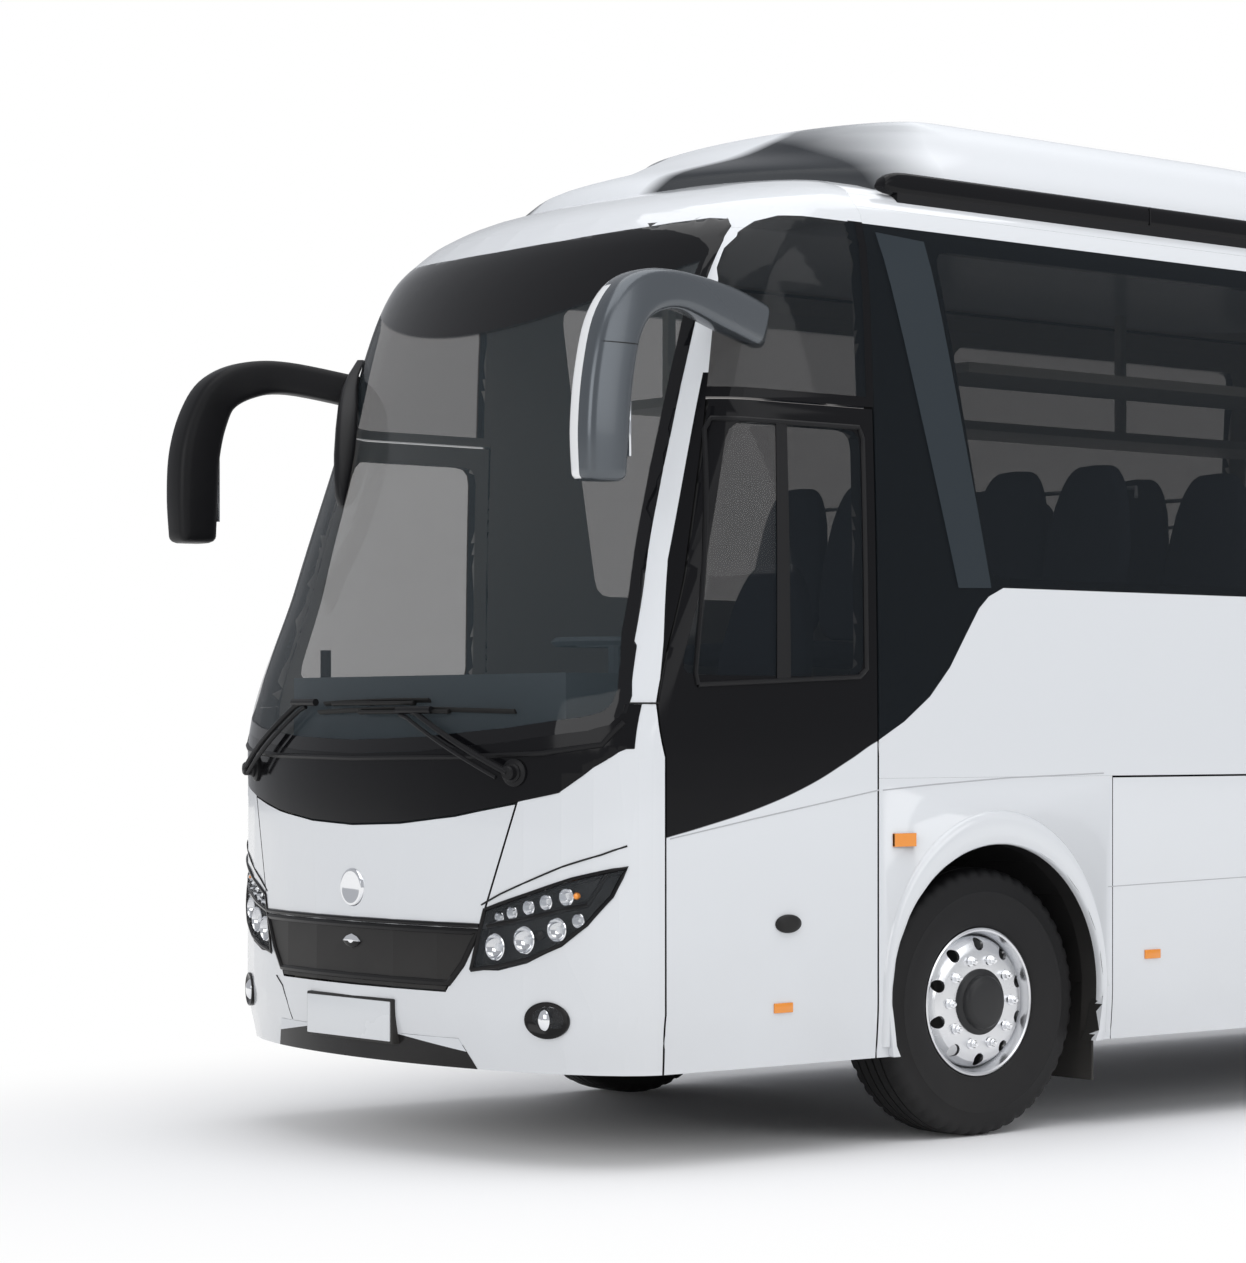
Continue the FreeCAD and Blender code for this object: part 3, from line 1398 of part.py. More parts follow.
def axles():
    """Dropped front beam with kingpin bosses, rear axle housing."""
    low = "tyre_radius - beam_drop"
    length = "(king_pin - boss_radius / 2) * 2"
    pieces = [middle_box("front_beam", 0, "front_axle_y", low, length, "beam_wide", "beam_tall")]
    holes = []
    for side, sign in (("left", ""), ("right", "-")):
        place = ("Z", f"{sign}king_pin", "front_axle_y")
        low = "tyre_radius - boss_tall / 2"
        pieces.append(prism(f"boss_{side}", *place, low, "boss_radius", "boss_tall"))
        bore = ("tyre_radius - boss_tall", "pin_radius + pin_play", "boss_tall * 2")
        holes.append(prism(f"pin_hole_{side}", *place, *bore))
    beam = cut("front_axle", joined("front_beam_solid", pieces), group("pin_holes", holes))
    subpart("front_axle", beam)
    shaft = "spindle_radius - running_gap"
    half = [
        ("twin_x + twin_spacing / 2", "0"),
        ("twin_x + twin_spacing / 2", shaft),
        ("twin_x - hub_reach", shaft),
        ("twin_x - hub_reach", "axle_tube"),
        ("diff_radius", "axle_tube"),
        ("diff_radius / 2", "diff_radius"),
    ]
    section = [(f"-({along})", radius) for along, radius in half] + half[::-1]
    place = {"x": "0", "y": "rear_axle_y", "z": "tyre_radius"}
    subpart("rear_axle", turned("rear_axle", section, sides=round(size.tube_sides), **place))


def knuckles():
    """Steering knuckles: a fork round the axle's boss, the kingpin, the spindle and the steering arm."""
    low = "tyre_radius - boss_tall / 2 - ear_tall"
    high = "tyre_radius + boss_tall / 2 + seam_gap"
    tall = "boss_tall + ear_tall * 2"
    ear = ("boss_radius * 2 + ear_tall / 2", "boss_radius * 2", "ear_tall - seam_gap")
    ear_place = ("king_pin - boss_radius", "front_axle_y - boss_radius")
    fork_x = "king_pin + boss_radius + ear_tall / 2 + seam_gap"
    arm_place = ("king_pin - arm_wide / 2", "front_axle_y", low)
    pieces = [
        prism("pin", "Z", "king_pin", "front_axle_y", low, "pin_radius", tall),
        box("ear_low", *ear_place, low, *ear),
        box("ear_high", *ear_place, high, *ear),
        middle_box("fork", fork_x, "front_axle_y", low, "ear_tall", "boss_radius * 2", tall),
        prism("spindle", "X", fork_x, "front_axle_y", "tyre_radius", "spindle_radius", "spindle_length"),
        box("steer_arm", *arm_place, "arm_wide", "arm_reach + arm_wide / 2", "arm_thick"),
    ]
    left = joined("left_knuckle", pieces)
    subpart("left_knuckle", left)
    subpart("right_knuckle", mirrored("right_knuckle", left))


def tie_rod():
    """Track rod that links the two steering arms."""
    y = "front_axle_y + arm_reach"
    pieces = [prism("tie_bar", "X", "-king_pin", y, "tie_z", "tie_radius", "king_pin * 2")]
    for side, sign in (("left", ""), ("right", "-")):
        low = "tie_z - tie_radius - tie_lip"
        pieces.append(
            prism(f"tie_eye_{side}", "Z", f"{sign}king_pin", y, low, "tie_eye", "(tie_radius + tie_lip) * 2")
        )
    subpart("tie_rod", joined("tie_rod", pieces))


def tyre_outline():
    """Section of a tyre about its wheel's centre."""
    half_tread = "tread_width / 2"
    half = "tyre_width / 2"
    bead = "bead_width / 2"
    return [
        (f"-{bead}", "bead_radius"),
        (f"-{half}", "(tyre_radius + bead_radius) / 2"),
        (f"-{half_tread}", "tyre_radius - shoulder_drop"),
        (f"-{half_tread} + shoulder_drop", "tyre_radius"),
        (f"{half_tread} - shoulder_drop", "tyre_radius"),
        (half_tread, "tyre_radius - shoulder_drop"),
        (half, "(tyre_radius + bead_radius) / 2"),
        (bead, "bead_radius"),
    ]


RIM_EDGE = "bead_width / 2"
RIM_SEAT = "bead_radius - running_gap"
RIM_WELL = "bead_radius - rim_wall * 2"
HUB_FACE = "stud_circle / 2 + rim_wall * 2"
HUB_BORE = "spindle_radius + running_gap"


def front_rim():
    """Section of a front wheel: barrel, disc near the outer side, hub tube and closed hub cap."""
    return [
        (f"-{RIM_EDGE}", RIM_SEAT),
        (RIM_EDGE, RIM_SEAT),
        (RIM_EDGE, "bead_radius - rim_wall"),
        ("hub_end", HUB_FACE),
        ("hub_end", "hub_bore / 2"),
        ("hub_end + hub_cap", "hub_bore / 2 - rim_wall"),
        ("hub_end + hub_cap", "0"),
        ("hub_end", "0"),
        ("hub_end", HUB_BORE),
        ("hub_start", HUB_BORE),
        ("hub_start", "hub_bore / 2"),
        ("hub_end - rim_wall", "hub_bore / 2"),
        ("hub_end - rim_wall", HUB_FACE),
        (f"{RIM_EDGE} - rim_wall", RIM_WELL),
        (f"-{RIM_EDGE}", RIM_WELL),
    ]


def twin_rim(outer):
    """Section of one wheel of a twin, its disc on the side that meets the other wheel (+X)."""
    face = "twin_spacing / 2 - seam_gap"
    section = [
        (f"-{RIM_EDGE}", RIM_SEAT),
        (RIM_EDGE, RIM_SEAT),
        (RIM_EDGE, "bead_radius - rim_wall"),
        (face, HUB_FACE),
        (face, HUB_BORE),
    ]
    if outer:
        cap = "-hub_start + rim_wall"
        section.extend([(cap, HUB_BORE), (cap, "0"), ("-hub_start", "0")])
    else:
        section.append(("hub_start", HUB_BORE))
    start = "-hub_start" if outer else "hub_start"
    section.extend(
        [
            (start, "hub_bore / 2"),
            (f"{face} - rim_wall", "hub_bore / 2"),
            (f"{face} - rim_wall", HUB_FACE),
            (f"{RIM_EDGE} - rim_wall", RIM_WELL),
            (f"-{RIM_EDGE}", RIM_WELL),
        ]
    )
    return section


def flipped(section):
    """The same section facing the other way along the axle."""
    return [(f"-({along})", radius) for along, radius in section]


def wheels():
    """Front single wheels and rear twins with their tyres."""
    sides = round(size.wheel_sides)
    front = {"x": "wheel_x", "y": "front_axle_y", "z": "tyre_radius", "sides": sides}
    front_tyre = subpart("front_left_tyre", turned("front_left_tyre", tyre_outline(), **front))
    front_wheel = subpart("front_left_wheel", turned("front_left_wheel", front_rim(), **front))
    subpart("front_right_tyre", mirrored("front_right_tyre", front_tyre))
    subpart("front_right_wheel", mirrored("front_right_wheel", front_wheel))
    tyres = []
    rims = []
    for name, x, section in (
        ("outer", "twin_x + twin_spacing / 2", flipped(twin_rim(True))),
        ("inner", "twin_x - twin_spacing / 2", twin_rim(False)),
    ):
        place = {"x": x, "y": "rear_axle_y", "z": "tyre_radius", "sides": sides}
        tyres.append(turned(f"rear_{name}_tyre", tyre_outline(), **place))
        rims.append(turned(f"rear_{name}_rim", section, **place))
    left_tyres = subpart("rear_left_tyres", group("rear_left_tyres", tyres))
    left_rims = subpart("rear_left_wheels", group("rear_left_wheels", rims))
    subpart("rear_right_tyres", mirrored("rear_right_tyres", left_tyres))
    subpart("rear_right_wheels", mirrored("rear_right_wheels", left_rims))


def springs():
    """Air springs between axles and frame rails."""
    pieces = []
    tops = {"front_axle_y": "tyre_radius - beam_drop + beam_tall", "rear_axle_y": "tyre_radius + axle_tube"}
    for axle, top in tops.items():
        for side, sign in (("left", ""), ("right", "-")):
            x = f"{sign}(rail_half - rail_width / 2)"
            tall = f"rail_low - ({top}) - seam_gap * 2"
            name = f"spring_{axle}_{side}"
            pieces.append(prism(name, "Z", x, axle, f"{top} + seam_gap", "spring_radius", tall, "tube_sides"))
    subpart("air_springs", group("air_springs", pieces))


def mud_flaps():
    """Rubber flaps behind the front wheels and behind the rear wheels."""
    pieces = []
    for axle in ("front_axle_y", "rear_axle_y"):
        for side, sign in (("left", ""), ("right", "-")):
            y = f"{axle} + arch_radius + liner_gap + liner + flap_thick / 2 + seam_gap"
            tall = "arch_centre - flap_low + flap_width / 4"
            name = f"flap_{axle}_{side}"
            pieces.append(middle_box(name, f"{sign}flap_x", y, "flap_low", "flap_width", "flap_thick", tall))
    subpart("mud_flaps", group("mud_flaps", pieces))


def seat_rows(name, outline, width, **place):
    """A row of like bars down the bus from one drawn outline."""
    body = profile_bar(name, outline, width, **place)
    pattern = body.newObject("PartDesign::LinearPattern", name + "_rows")
    pattern.Originals = [body.getObject(name + "_pad")]
    pattern.Direction = (plane_of(body, "Y_Axis"), [""])
    bind(pattern, Length="row_pitch * (seat_rows - 1)")
    pattern.Occurrences = round(size.seat_rows)
    body.Tip = pattern
    return body


def seats():
    """Passenger seats in pairs on both sides of the aisle and the driver's seat, on metal stands."""
    pad = [("0", "0"), ("seat_depth", "0"), ("seat_depth", "cushion"), ("0", "cushion")]
    rest = [
        ("0", "0"),
        ("back_thickness", "0"),
        ("back_thickness + back_lean", "back_height"),
        ("back_lean", "back_height"),
    ]
    leg_tall = "seat_height - cushion - seam_gap"
    leg = [("0", "0"), ("seat_depth / 2", "0"), ("seat_depth / 2", leg_tall), ("0", leg_tall)]
    width = "floor_half - seat_gap - aisle_half"
    back_y = "first_row_y + seat_depth + seam_gap"
    cushions = []
    backs = []
    stands = []
    for name, sign in (("left", 1), ("right", -1)):
        x = f"{sign} * (aisle_half + floor_half - seat_gap) / 2"
        cushion_z = "deck_height + seat_height - cushion"
        cushions.append(seat_rows(f"{name}_cushions", pad, width, x=x, y="first_row_y", z=cushion_z))
        backs.append(seat_rows(f"{name}_backs", rest, width, x=x, y=back_y, z="deck_height + seat_height"))
        stand_y = "first_row_y + (seat_depth - seat_depth / 2) / 2"
        stand_z = "deck_height + seam_gap"
        stands.append(seat_rows(f"{name}_stands", leg, "stand_width", x=x, y=stand_y, z=stand_z))
    width = "driver_seat_width"
    cushion_z = "platform_height + seat_height - cushion"
    cushion = middle_box("driver_cushion", "driver_x", "driver_y", cushion_z, width, "seat_depth", "cushion")
    cushions.append(cushion)
    back_y = "driver_y + seat_depth / 2 + seam_gap"
    back_place = {"x": "driver_x", "y": back_y, "z": "platform_height + seat_height"}
    backs.append(profile_bar("driver_back", rest, width, **back_place))
    low = "platform_height + seam_gap"
    tall = "seat_height - cushion - seam_gap * 2"
    wide = "driver_stand_width"
    stands.append(middle_box("driver_stand", "driver_x", "driver_y", low, wide, "seat_depth / 2", tall))
    subpart("seat_cushions", group("seat_cushions", cushions))
    subpart("seat_backs", group("seat_backs", backs))
    subpart("seat_stands", group("seat_stands", stands))


def dashboard():
    """Dashboard under the windscreen with the raised instrument hood before the driver."""
    section = [
        ("nose_y + dash_front", "platform_height + seam_gap"),
        ("nose_y + dash_front + dash_depth / 2", "platform_height + seam_gap"),
        ("nose_y + dash_front + dash_depth", "dash_height - dash_drop"),
        ("nose_y + dash_front + dash_depth", "dash_height"),
        ("nose_y + dash_front", "dash_height"),
    ]
    subpart("dashboard", profile_bar("dashboard", section, "dash_half * 2"))


def steering_wheel():
    """Steering wheel on its column."""
    grip = [
        ("-steer_grip", "steer_radius"),
        ("0", "steer_radius - steer_grip"),
        ("steer_grip", "steer_radius"),
        ("0", "steer_radius + steer_grip"),
    ]
    x = "driver_x"
    y = "driver_y - steer_reach"
    upright = Vector(0, 0, 1)
    ring = turned("wheel_ring", grip, x, y, "steer_height", round(size.tube_sides), upright)
    low = "steer_height - steer_grip"
    spoke = middle_box("wheel_spoke", x, y, low, "steer_radius * 2", "steer_grip * 2", "steer_grip")
    foot = "platform_height + seam_gap"
    column = prism("wheel_column", "Z", x, y, foot, "steer_grip * 2", f"steer_height - ({foot})")
    subpart("steering_wheel", joined("steering_wheel", [ring, spoke, column]))


def luggage_racks():
    """Shelves over the seats, hung from the roof."""
    pieces = []
    start = "deck_y + deck_step"
    length = f"cap_front_y - ({start})"
    foot = "rack_height + floor_plate + seam_gap"
    tall = f"roof_height - wall - seam_gap - ({foot})"
    count = round(size.hanger_count)
    for side in ("left", "right"):
        edge = "floor_half - rack_inset - rack_width" if side == "left" else "-floor_half + rack_inset"
        post = edge if side == "left" else f"{edge} + rack_width - hanger"
        pieces.append(box(f"rack_{side}", edge, start, "rack_height", "rack_width", length, "floor_plate"))
        for index in range(count):
            y = f"{start} + ({length} - hanger) * {index} / {count - 1}"
            pieces.append(box(f"hanger_{side}_{index}", post, y, foot, "hanger", "hanger", tall))
    subpart("luggage_racks", group("luggage_racks", pieces))


def side_markers():
    """Small amber lamps along the lower sides."""
    pieces = []
    for index, place in enumerate(("front_axle_y - marker_front", "cap_front_y - marker_step")):
        right = "-half_width - seam_gap - marker_thick"
        for side, x in (("left", "half_width + seam_gap"), ("right", right)):
            name = f"marker_{side}_{index}"
            pieces.append(box(name, x, place, "marker_height", "marker_thick", "marker_long", "marker_tall"))
    subpart("side_markers", group("side_markers", pieces))


for make in (
    front_fascia,
    front_trim,
    front_flap,
    windscreen,
    cab_frame,
    front_doors,
    entrance_arm,
    side_walls,
    window_panes,
    rear_panel,
    roof_shell,
    roof_dome,
    roof_rails,
    skirt_panels,
    wheel_liners,
    luggage_doors,
    lamps,
    mirrors,
    wipers,
    chassis_frame,
    cabin_floor,
    engine,
    axles,
    knuckles,
    tie_rod,
    wheels,
    springs,
    mud_flaps,
    seats,
    dashboard,
    steering_wheel,
    luggage_racks,
    side_markers,
):
    make()

doc.recompute()
os.makedirs("parts", exist_ok=True)
for item in doc.Objects:
    if "Invalid" in item.State or "Error" in item.State:
        raise RuntimeError(f"{item.Label} failed: {item.State}")
for node, item in SUBPARTS.items():
    if item.Shape.isNull() or not item.Shape.isValid():
        raise RuntimeError(f"{node} has no valid shape")
for node, item in SUBPARTS.items():
    item.Shape.exportStep(f"parts/{node}.step")
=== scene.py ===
import json
import math

import bmesh
import bpy
import numpy as np
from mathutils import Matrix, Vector

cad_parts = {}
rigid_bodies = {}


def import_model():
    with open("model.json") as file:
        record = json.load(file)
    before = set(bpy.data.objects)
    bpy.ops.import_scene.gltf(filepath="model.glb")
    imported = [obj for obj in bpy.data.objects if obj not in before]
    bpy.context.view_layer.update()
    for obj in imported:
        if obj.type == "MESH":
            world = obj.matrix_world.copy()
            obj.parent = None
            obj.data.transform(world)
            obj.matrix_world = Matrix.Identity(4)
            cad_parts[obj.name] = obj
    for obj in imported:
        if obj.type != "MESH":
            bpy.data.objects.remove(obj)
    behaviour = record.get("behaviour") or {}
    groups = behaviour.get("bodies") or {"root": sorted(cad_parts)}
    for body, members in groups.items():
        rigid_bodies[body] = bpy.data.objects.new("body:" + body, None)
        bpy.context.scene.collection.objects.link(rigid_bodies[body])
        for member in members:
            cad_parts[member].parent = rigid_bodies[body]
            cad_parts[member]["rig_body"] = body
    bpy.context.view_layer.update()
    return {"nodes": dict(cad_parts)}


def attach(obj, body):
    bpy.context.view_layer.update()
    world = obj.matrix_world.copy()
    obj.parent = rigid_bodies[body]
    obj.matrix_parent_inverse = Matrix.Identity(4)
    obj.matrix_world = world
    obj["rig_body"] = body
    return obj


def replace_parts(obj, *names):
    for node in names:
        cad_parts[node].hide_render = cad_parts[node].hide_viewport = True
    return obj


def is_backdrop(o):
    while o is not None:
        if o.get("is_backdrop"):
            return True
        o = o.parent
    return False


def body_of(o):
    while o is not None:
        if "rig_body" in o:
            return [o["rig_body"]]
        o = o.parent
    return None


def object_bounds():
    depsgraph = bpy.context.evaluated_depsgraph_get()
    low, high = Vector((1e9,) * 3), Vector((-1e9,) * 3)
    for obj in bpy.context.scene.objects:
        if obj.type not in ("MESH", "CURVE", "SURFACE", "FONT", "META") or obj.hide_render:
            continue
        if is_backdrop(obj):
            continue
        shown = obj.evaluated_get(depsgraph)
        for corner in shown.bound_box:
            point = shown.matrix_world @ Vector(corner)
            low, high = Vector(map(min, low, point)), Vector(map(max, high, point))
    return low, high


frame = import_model()
nodes = frame["nodes"]
scene = bpy.context.scene
scene.view_settings.view_transform = "Standard"

# Studio: a pale floor and a white surround, soft lamps above and at the sides, and the camera
# at eye height beside the road, ahead of the bus's left front corner.
camera = bpy.data.objects.new("camera", bpy.data.cameras.new("camera"))
camera.location = (10.692, -13.070, 1.576)
camera.rotation_euler = (math.radians(90), 0, math.radians(50.93))
camera.data.lens = 98.71
camera.data.shift_y = 0.0773
camera.data.clip_end = 200
scene.collection.objects.link(camera)
scene.camera = camera

world = bpy.data.worlds.new("surround")
world.use_nodes = True
scene.world = world
tree = world.node_tree
tree.nodes.clear()
sky = tree.nodes.new("ShaderNodeBackground")
sky.inputs["Color"].default_value = (0.93, 0.95, 1.0, 1)
sky.inputs["Strength"].default_value = 0.5
backdrop = tree.nodes.new("ShaderNodeBackground")
backdrop.inputs["Color"].default_value = (1, 1, 1, 1)
backdrop.inputs["Strength"].default_value = 1.0
seen = tree.nodes.new("ShaderNodeLightPath")
either = tree.nodes.new("ShaderNodeMath")
either.operation = "MAXIMUM"
tree.links.new(seen.outputs["Is Camera Ray"], either.inputs[0])
tree.links.new(seen.outputs["Is Transmission Ray"], either.inputs[1])
mix = tree.nodes.new("ShaderNodeMixShader")
tree.links.new(either.outputs["Value"], mix.inputs["Fac"])
tree.links.new(sky.outputs["Background"], mix.inputs[1])
tree.links.new(backdrop.outputs["Background"], mix.inputs[2])
out = tree.nodes.new("ShaderNodeOutputWorld")
tree.links.new(mix.outputs["Shader"], out.inputs["Surface"])


def soft_lamp(name, place, aim, width, height, watts):
    """A large soft lamp pointed at a place on the bus."""
    data = bpy.data.lights.new(name, "AREA")
    data.shape = "RECTANGLE"
    data.size = width
    data.size_y = height
    data.energy = watts
    lamp = bpy.data.objects.new(name, data)
    lamp.location = place
    lamp.rotation_euler = (Vector(aim) - Vector(place)).to_track_quat("-Z", "Y").to_euler()
    scene.collection.objects.link(lamp)


soft_lamp("overhead", (3, -2, 14), (0, 0, 1), 16, 20, 1500)
soft_lamp("front_fill", (6, -22, 7), (0, -5, 1.5), 12, 8, 650)
soft_lamp("side_fill", (18, 2, 7), (0, 0, 1.5), 14, 8, 500)

floor_mesh = bpy.data.meshes.new("floor")
floor_mesh.from_pydata([(-60, -60, 0), (60, -60, 0), (60, 60, 0), (-60, 60, 0)], [], [(0, 1, 2, 3)])
floor = bpy.data.objects.new("floor", floor_mesh)
scene.collection.objects.link(floor)
floor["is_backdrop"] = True
floor_paint = bpy.data.materials.new("floor")
floor_paint.use_nodes = True
floor_mesh.materials.append(floor_paint)
tree = floor_paint.node_tree
ground = tree.nodes["Principled BSDF"]
ground.inputs["Base Color"].default_value = (0.93, 0.93, 0.94, 1)
ground.inputs["Roughness"].default_value = 0.8
ground.inputs["Specular IOR Level"].default_value = 0.1
place = tree.nodes.new("ShaderNodeTexCoord")
stretch = tree.nodes.new("ShaderNodeVectorMath")
stretch.operation = "MULTIPLY"
stretch.inputs[1].default_value = (1.0, 0.42, 1.0)
tree.links.new(place.outputs["Object"], stretch.inputs[0])
far = tree.nodes.new("ShaderNodeVectorMath")
far.operation = "LENGTH"
tree.links.new(stretch.outputs["Vector"], far.inputs[0])
blend = tree.nodes.new("ShaderNodeMapRange")
blend.interpolation_type = "SMOOTHSTEP"
tree.links.new(far.outputs["Value"], blend.inputs["Value"])
blend.inputs["From Min"].default_value = 1.6
blend.inputs["From Max"].default_value = 4.2
glow = tree.nodes.new("ShaderNodeEmission")
glow.inputs["Color"].default_value = (1, 1, 1, 1)
fading = tree.nodes.new("ShaderNodeMixShader")
tree.links.new(blend.outputs["Result"], fading.inputs["Fac"])
tree.links.new(ground.outputs["BSDF"], fading.inputs[1])
tree.links.new(glow.outputs["Emission"], fading.inputs[2])
tree.links.new(fading.outputs["Shader"], tree.nodes["Material Output"].inputs["Surface"])


# Finishes shared by several pieces. Dust gathers low on the body, thin and uneven, and dulls
# the gloss; paint has the faint waviness of a sprayed coach panel.
def group_with(name, inputs, outputs):
    """A shader group with named sockets, and its input and output nodes."""
    tree = bpy.data.node_groups.new(name, "ShaderNodeTree")
    for label, kind, value in inputs:
        socket = tree.interface.new_socket(label, in_out="INPUT", socket_type=kind)
        if value is not None:
            socket.default_value = value
    for label, kind in outputs:
        tree.interface.new_socket(label, in_out="OUTPUT", socket_type=kind)
    return tree, tree.nodes.new("NodeGroupInput"), tree.nodes.new("NodeGroupOutput")


def feed(tree, entry, socket):
    """Links a socket to an input, or sets the input to a value."""
    if isinstance(entry, bpy.types.NodeSocket):
        tree.links.new(entry, socket)
    else:
        socket.default_value = entry


def sum_node(tree, operation, *entries):
    """A Math node whose inputs are sockets or numbers. Returns its value socket."""
    node = tree.nodes.new("ShaderNodeMath")
    node.operation = operation
    for entry, socket in zip(entries, node.inputs):
        feed(tree, entry, socket)
    return node.outputs["Value"]


def ramp(tree, value, low, high, start=0.0, end=1.0):
    """The start value where the input is low, the end value where it is high."""
    node = tree.nodes.new("ShaderNodeMapRange")
    tree.links.new(value, node.inputs["Value"])
    for label, entry in (("From Min", low), ("From Max", high), ("To Min", start), ("To Max", end)):
        feed(tree, entry, node.inputs[label])
    return node.outputs["Result"]


def two_tone(tree, mask, first, second):
    """The first colour where the mask is 0 and the second where it is 1."""
    mix = tree.nodes.new("ShaderNodeMix")
    mix.data_type = "RGBA"
    tree.links.new(mask, mix.inputs["Factor"])
    feed(tree, first, mix.inputs[6])
    feed(tree, second, mix.inputs[7])
    return mix.outputs[2]


def axes_of(tree):
    """The X, Y and Z sockets of a point's place on the bus."""
    place = tree.nodes.new("ShaderNodeTexCoord")
    split = tree.nodes.new("ShaderNodeSeparateXYZ")
    tree.links.new(place.outputs["Object"], split.inputs["Vector"])
    return split.outputs


def noise_in(tree, scale, detail):
    """Soft noise over the bus's surface."""
    place = tree.nodes.new("ShaderNodeTexCoord")
    noise = tree.nodes.new("ShaderNodeTexNoise")
    tree.links.new(place.outputs["Object"], noise.inputs["Vector"])
    noise.inputs["Scale"].default_value = scale
    noise.inputs["Detail"].default_value = detail
    return noise.outputs["Fac"]


dust, dust_in, dust_out = group_with(
    "road_dust",
    [
        ("Paint", "NodeSocketColor", (0.8, 0.8, 0.8, 1)),
        ("Gloss", "NodeSocketFloat", 0.2),
        ("Height", "NodeSocketFloat", 1.2),
        ("Amount", "NodeSocketFloat", 0.2),
    ],
    [("Color", "NodeSocketColor"), ("Roughness", "NodeSocketFloat"), ("Waviness", "NodeSocketFloat")],
)
SPLASH_LOW = 0.15
DUST_COLOUR = (0.32, 0.30, 0.27, 1)
low_down = ramp(dust, axes_of(dust)["Z"], SPLASH_LOW, dust_in.outputs["Height"], 1.0, 0.0)
patchy = sum_node(dust, "MULTIPLY", low_down, noise_in(dust, 2.2, 6))
amount = sum_node(dust, "MULTIPLY", patchy, dust_in.outputs["Amount"])
toned = two_tone(dust, amount, dust_in.outputs["Paint"], DUST_COLOUR)
dust.links.new(toned, dust_out.inputs["Color"])
dull = sum_node(dust, "MULTIPLY_ADD", amount, 0.8, dust_in.outputs["Gloss"])
dust.links.new(dull, dust_out.inputs["Roughness"])
dust.links.new(noise_in(dust, 1.6, 2), dust_out.inputs["Waviness"])


def finish(name, colour, gloss, metal=0.0, coat=0.0, amount=0.15, height=1.2, wavy=0.0, **sockets):
    """A painted, moulded or metal finish with road dust low down."""
    material = bpy.data.materials.new(name)
    material.use_nodes = True
    tree = material.node_tree
    shader = tree.nodes["Principled BSDF"]
    shader.inputs["Metallic"].default_value = metal
    shader.inputs["Coat Weight"].default_value = coat
    for label, value in sockets.items():
        shader.inputs[label.replace("_", " ")].default_value = value
    layer = tree.nodes.new("ShaderNodeGroup")
    layer.name = "dust"
    layer.node_tree = dust
    layer.inputs["Paint"].default_value = (*colour, 1)
    layer.inputs["Gloss"].default_value = gloss
    layer.inputs["Height"].default_value = height
    layer.inputs["Amount"].default_value = amount
    tree.links.new(layer.outputs["Color"], shader.inputs["Base Color"])
    tree.links.new(layer.outputs["Roughness"], shader.inputs["Roughness"])
    if wavy:
        bump = tree.nodes.new("ShaderNodeBump")
        bump.inputs["Strength"].default_value = wavy
        bump.inputs["Distance"].default_value = 0.01
        tree.links.new(layer.outputs["Waviness"], bump.inputs["Height"])
        tree.links.new(bump.outputs["Normal"], shader.inputs["Normal"])
    return material


WHITE = (0.71, 0.73, 0.755)
BLACK = (0.006, 0.006, 0.007)
RUBBER_BLACK = (0.008, 0.008, 0.008)
BODY_PAINT = {"coat": 0.6, "amount": 0.25, "wavy": 0.12}
white = finish("white_coach_paint", WHITE, 0.12, **BODY_PAINT)
gloss_black = finish("gloss_black_panel", BLACK, 0.1, coat=0.03, amount=0.1, Specular_IOR_Level=0.14)
satin_black = finish("satin_black", (0.008, 0.008, 0.009), 0.4, amount=0.25, Specular_IOR_Level=0.2)
rubber_seal = finish("rubber_seal", RUBBER_BLACK, 0.6, amount=0.1, Specular_IOR_Level=0.3)
lining = finish("cabin_lining", (0.46, 0.43, 0.39), 0.7, amount=0)
slate = finish("slate_accent", (0.022, 0.030, 0.037), 0.2, coat=0.05, amount=0, Specular_IOR_Level=0.25)
iron = finish("axle_iron", (0.03, 0.03, 0.032), 0.55, amount=0.6)
chrome = finish("bright_chrome", (0.85, 0.86, 0.88), 0.08, metal=1.0, amount=0.05)

# The shell. All outer panels share one flowing skin: upright sides, a nose that is an ellipse in
# plan and leans back with height, and a tail that leans forward. Each row of the table is a
# height, how far the nose has set back, the half width, the nose's depth and the tail's lean.
SHELL = np.array(
    [
        (0.347, 0.040, 1.2375, 0.4700, 0.026),
        (0.560, 0.005, 1.2500, 0.4700, 0.005),
        (1.475, 0.008, 1.2500, 0.4700, 0.000),
        (2.152, 0.233, 1.2413, 0.4700, 0.036),
        (2.745, 0.442, 1.2225, 0.4700, 0.086),
        (3.221, 0.597, 1.1988, 0.4724, 0.146),
        (3.386, 0.675, 1.1813, 0.4841, 0.185),
        (3.514, 0.799, 1.1463, 0.5123, 0.247),
        (3.605, 0.962, 1.0713, 0.5123, 0.351),
        (3.660, 1.159, 0.9500, 0.3666, 0.494),
    ]
)
NOSE, TAIL = -5.7, 5.7
TAIL_CORNER = 0.24
CORNER_SLACK = 0.009
FADE_RUN = 0.6
TAIL_FADE = 0.36


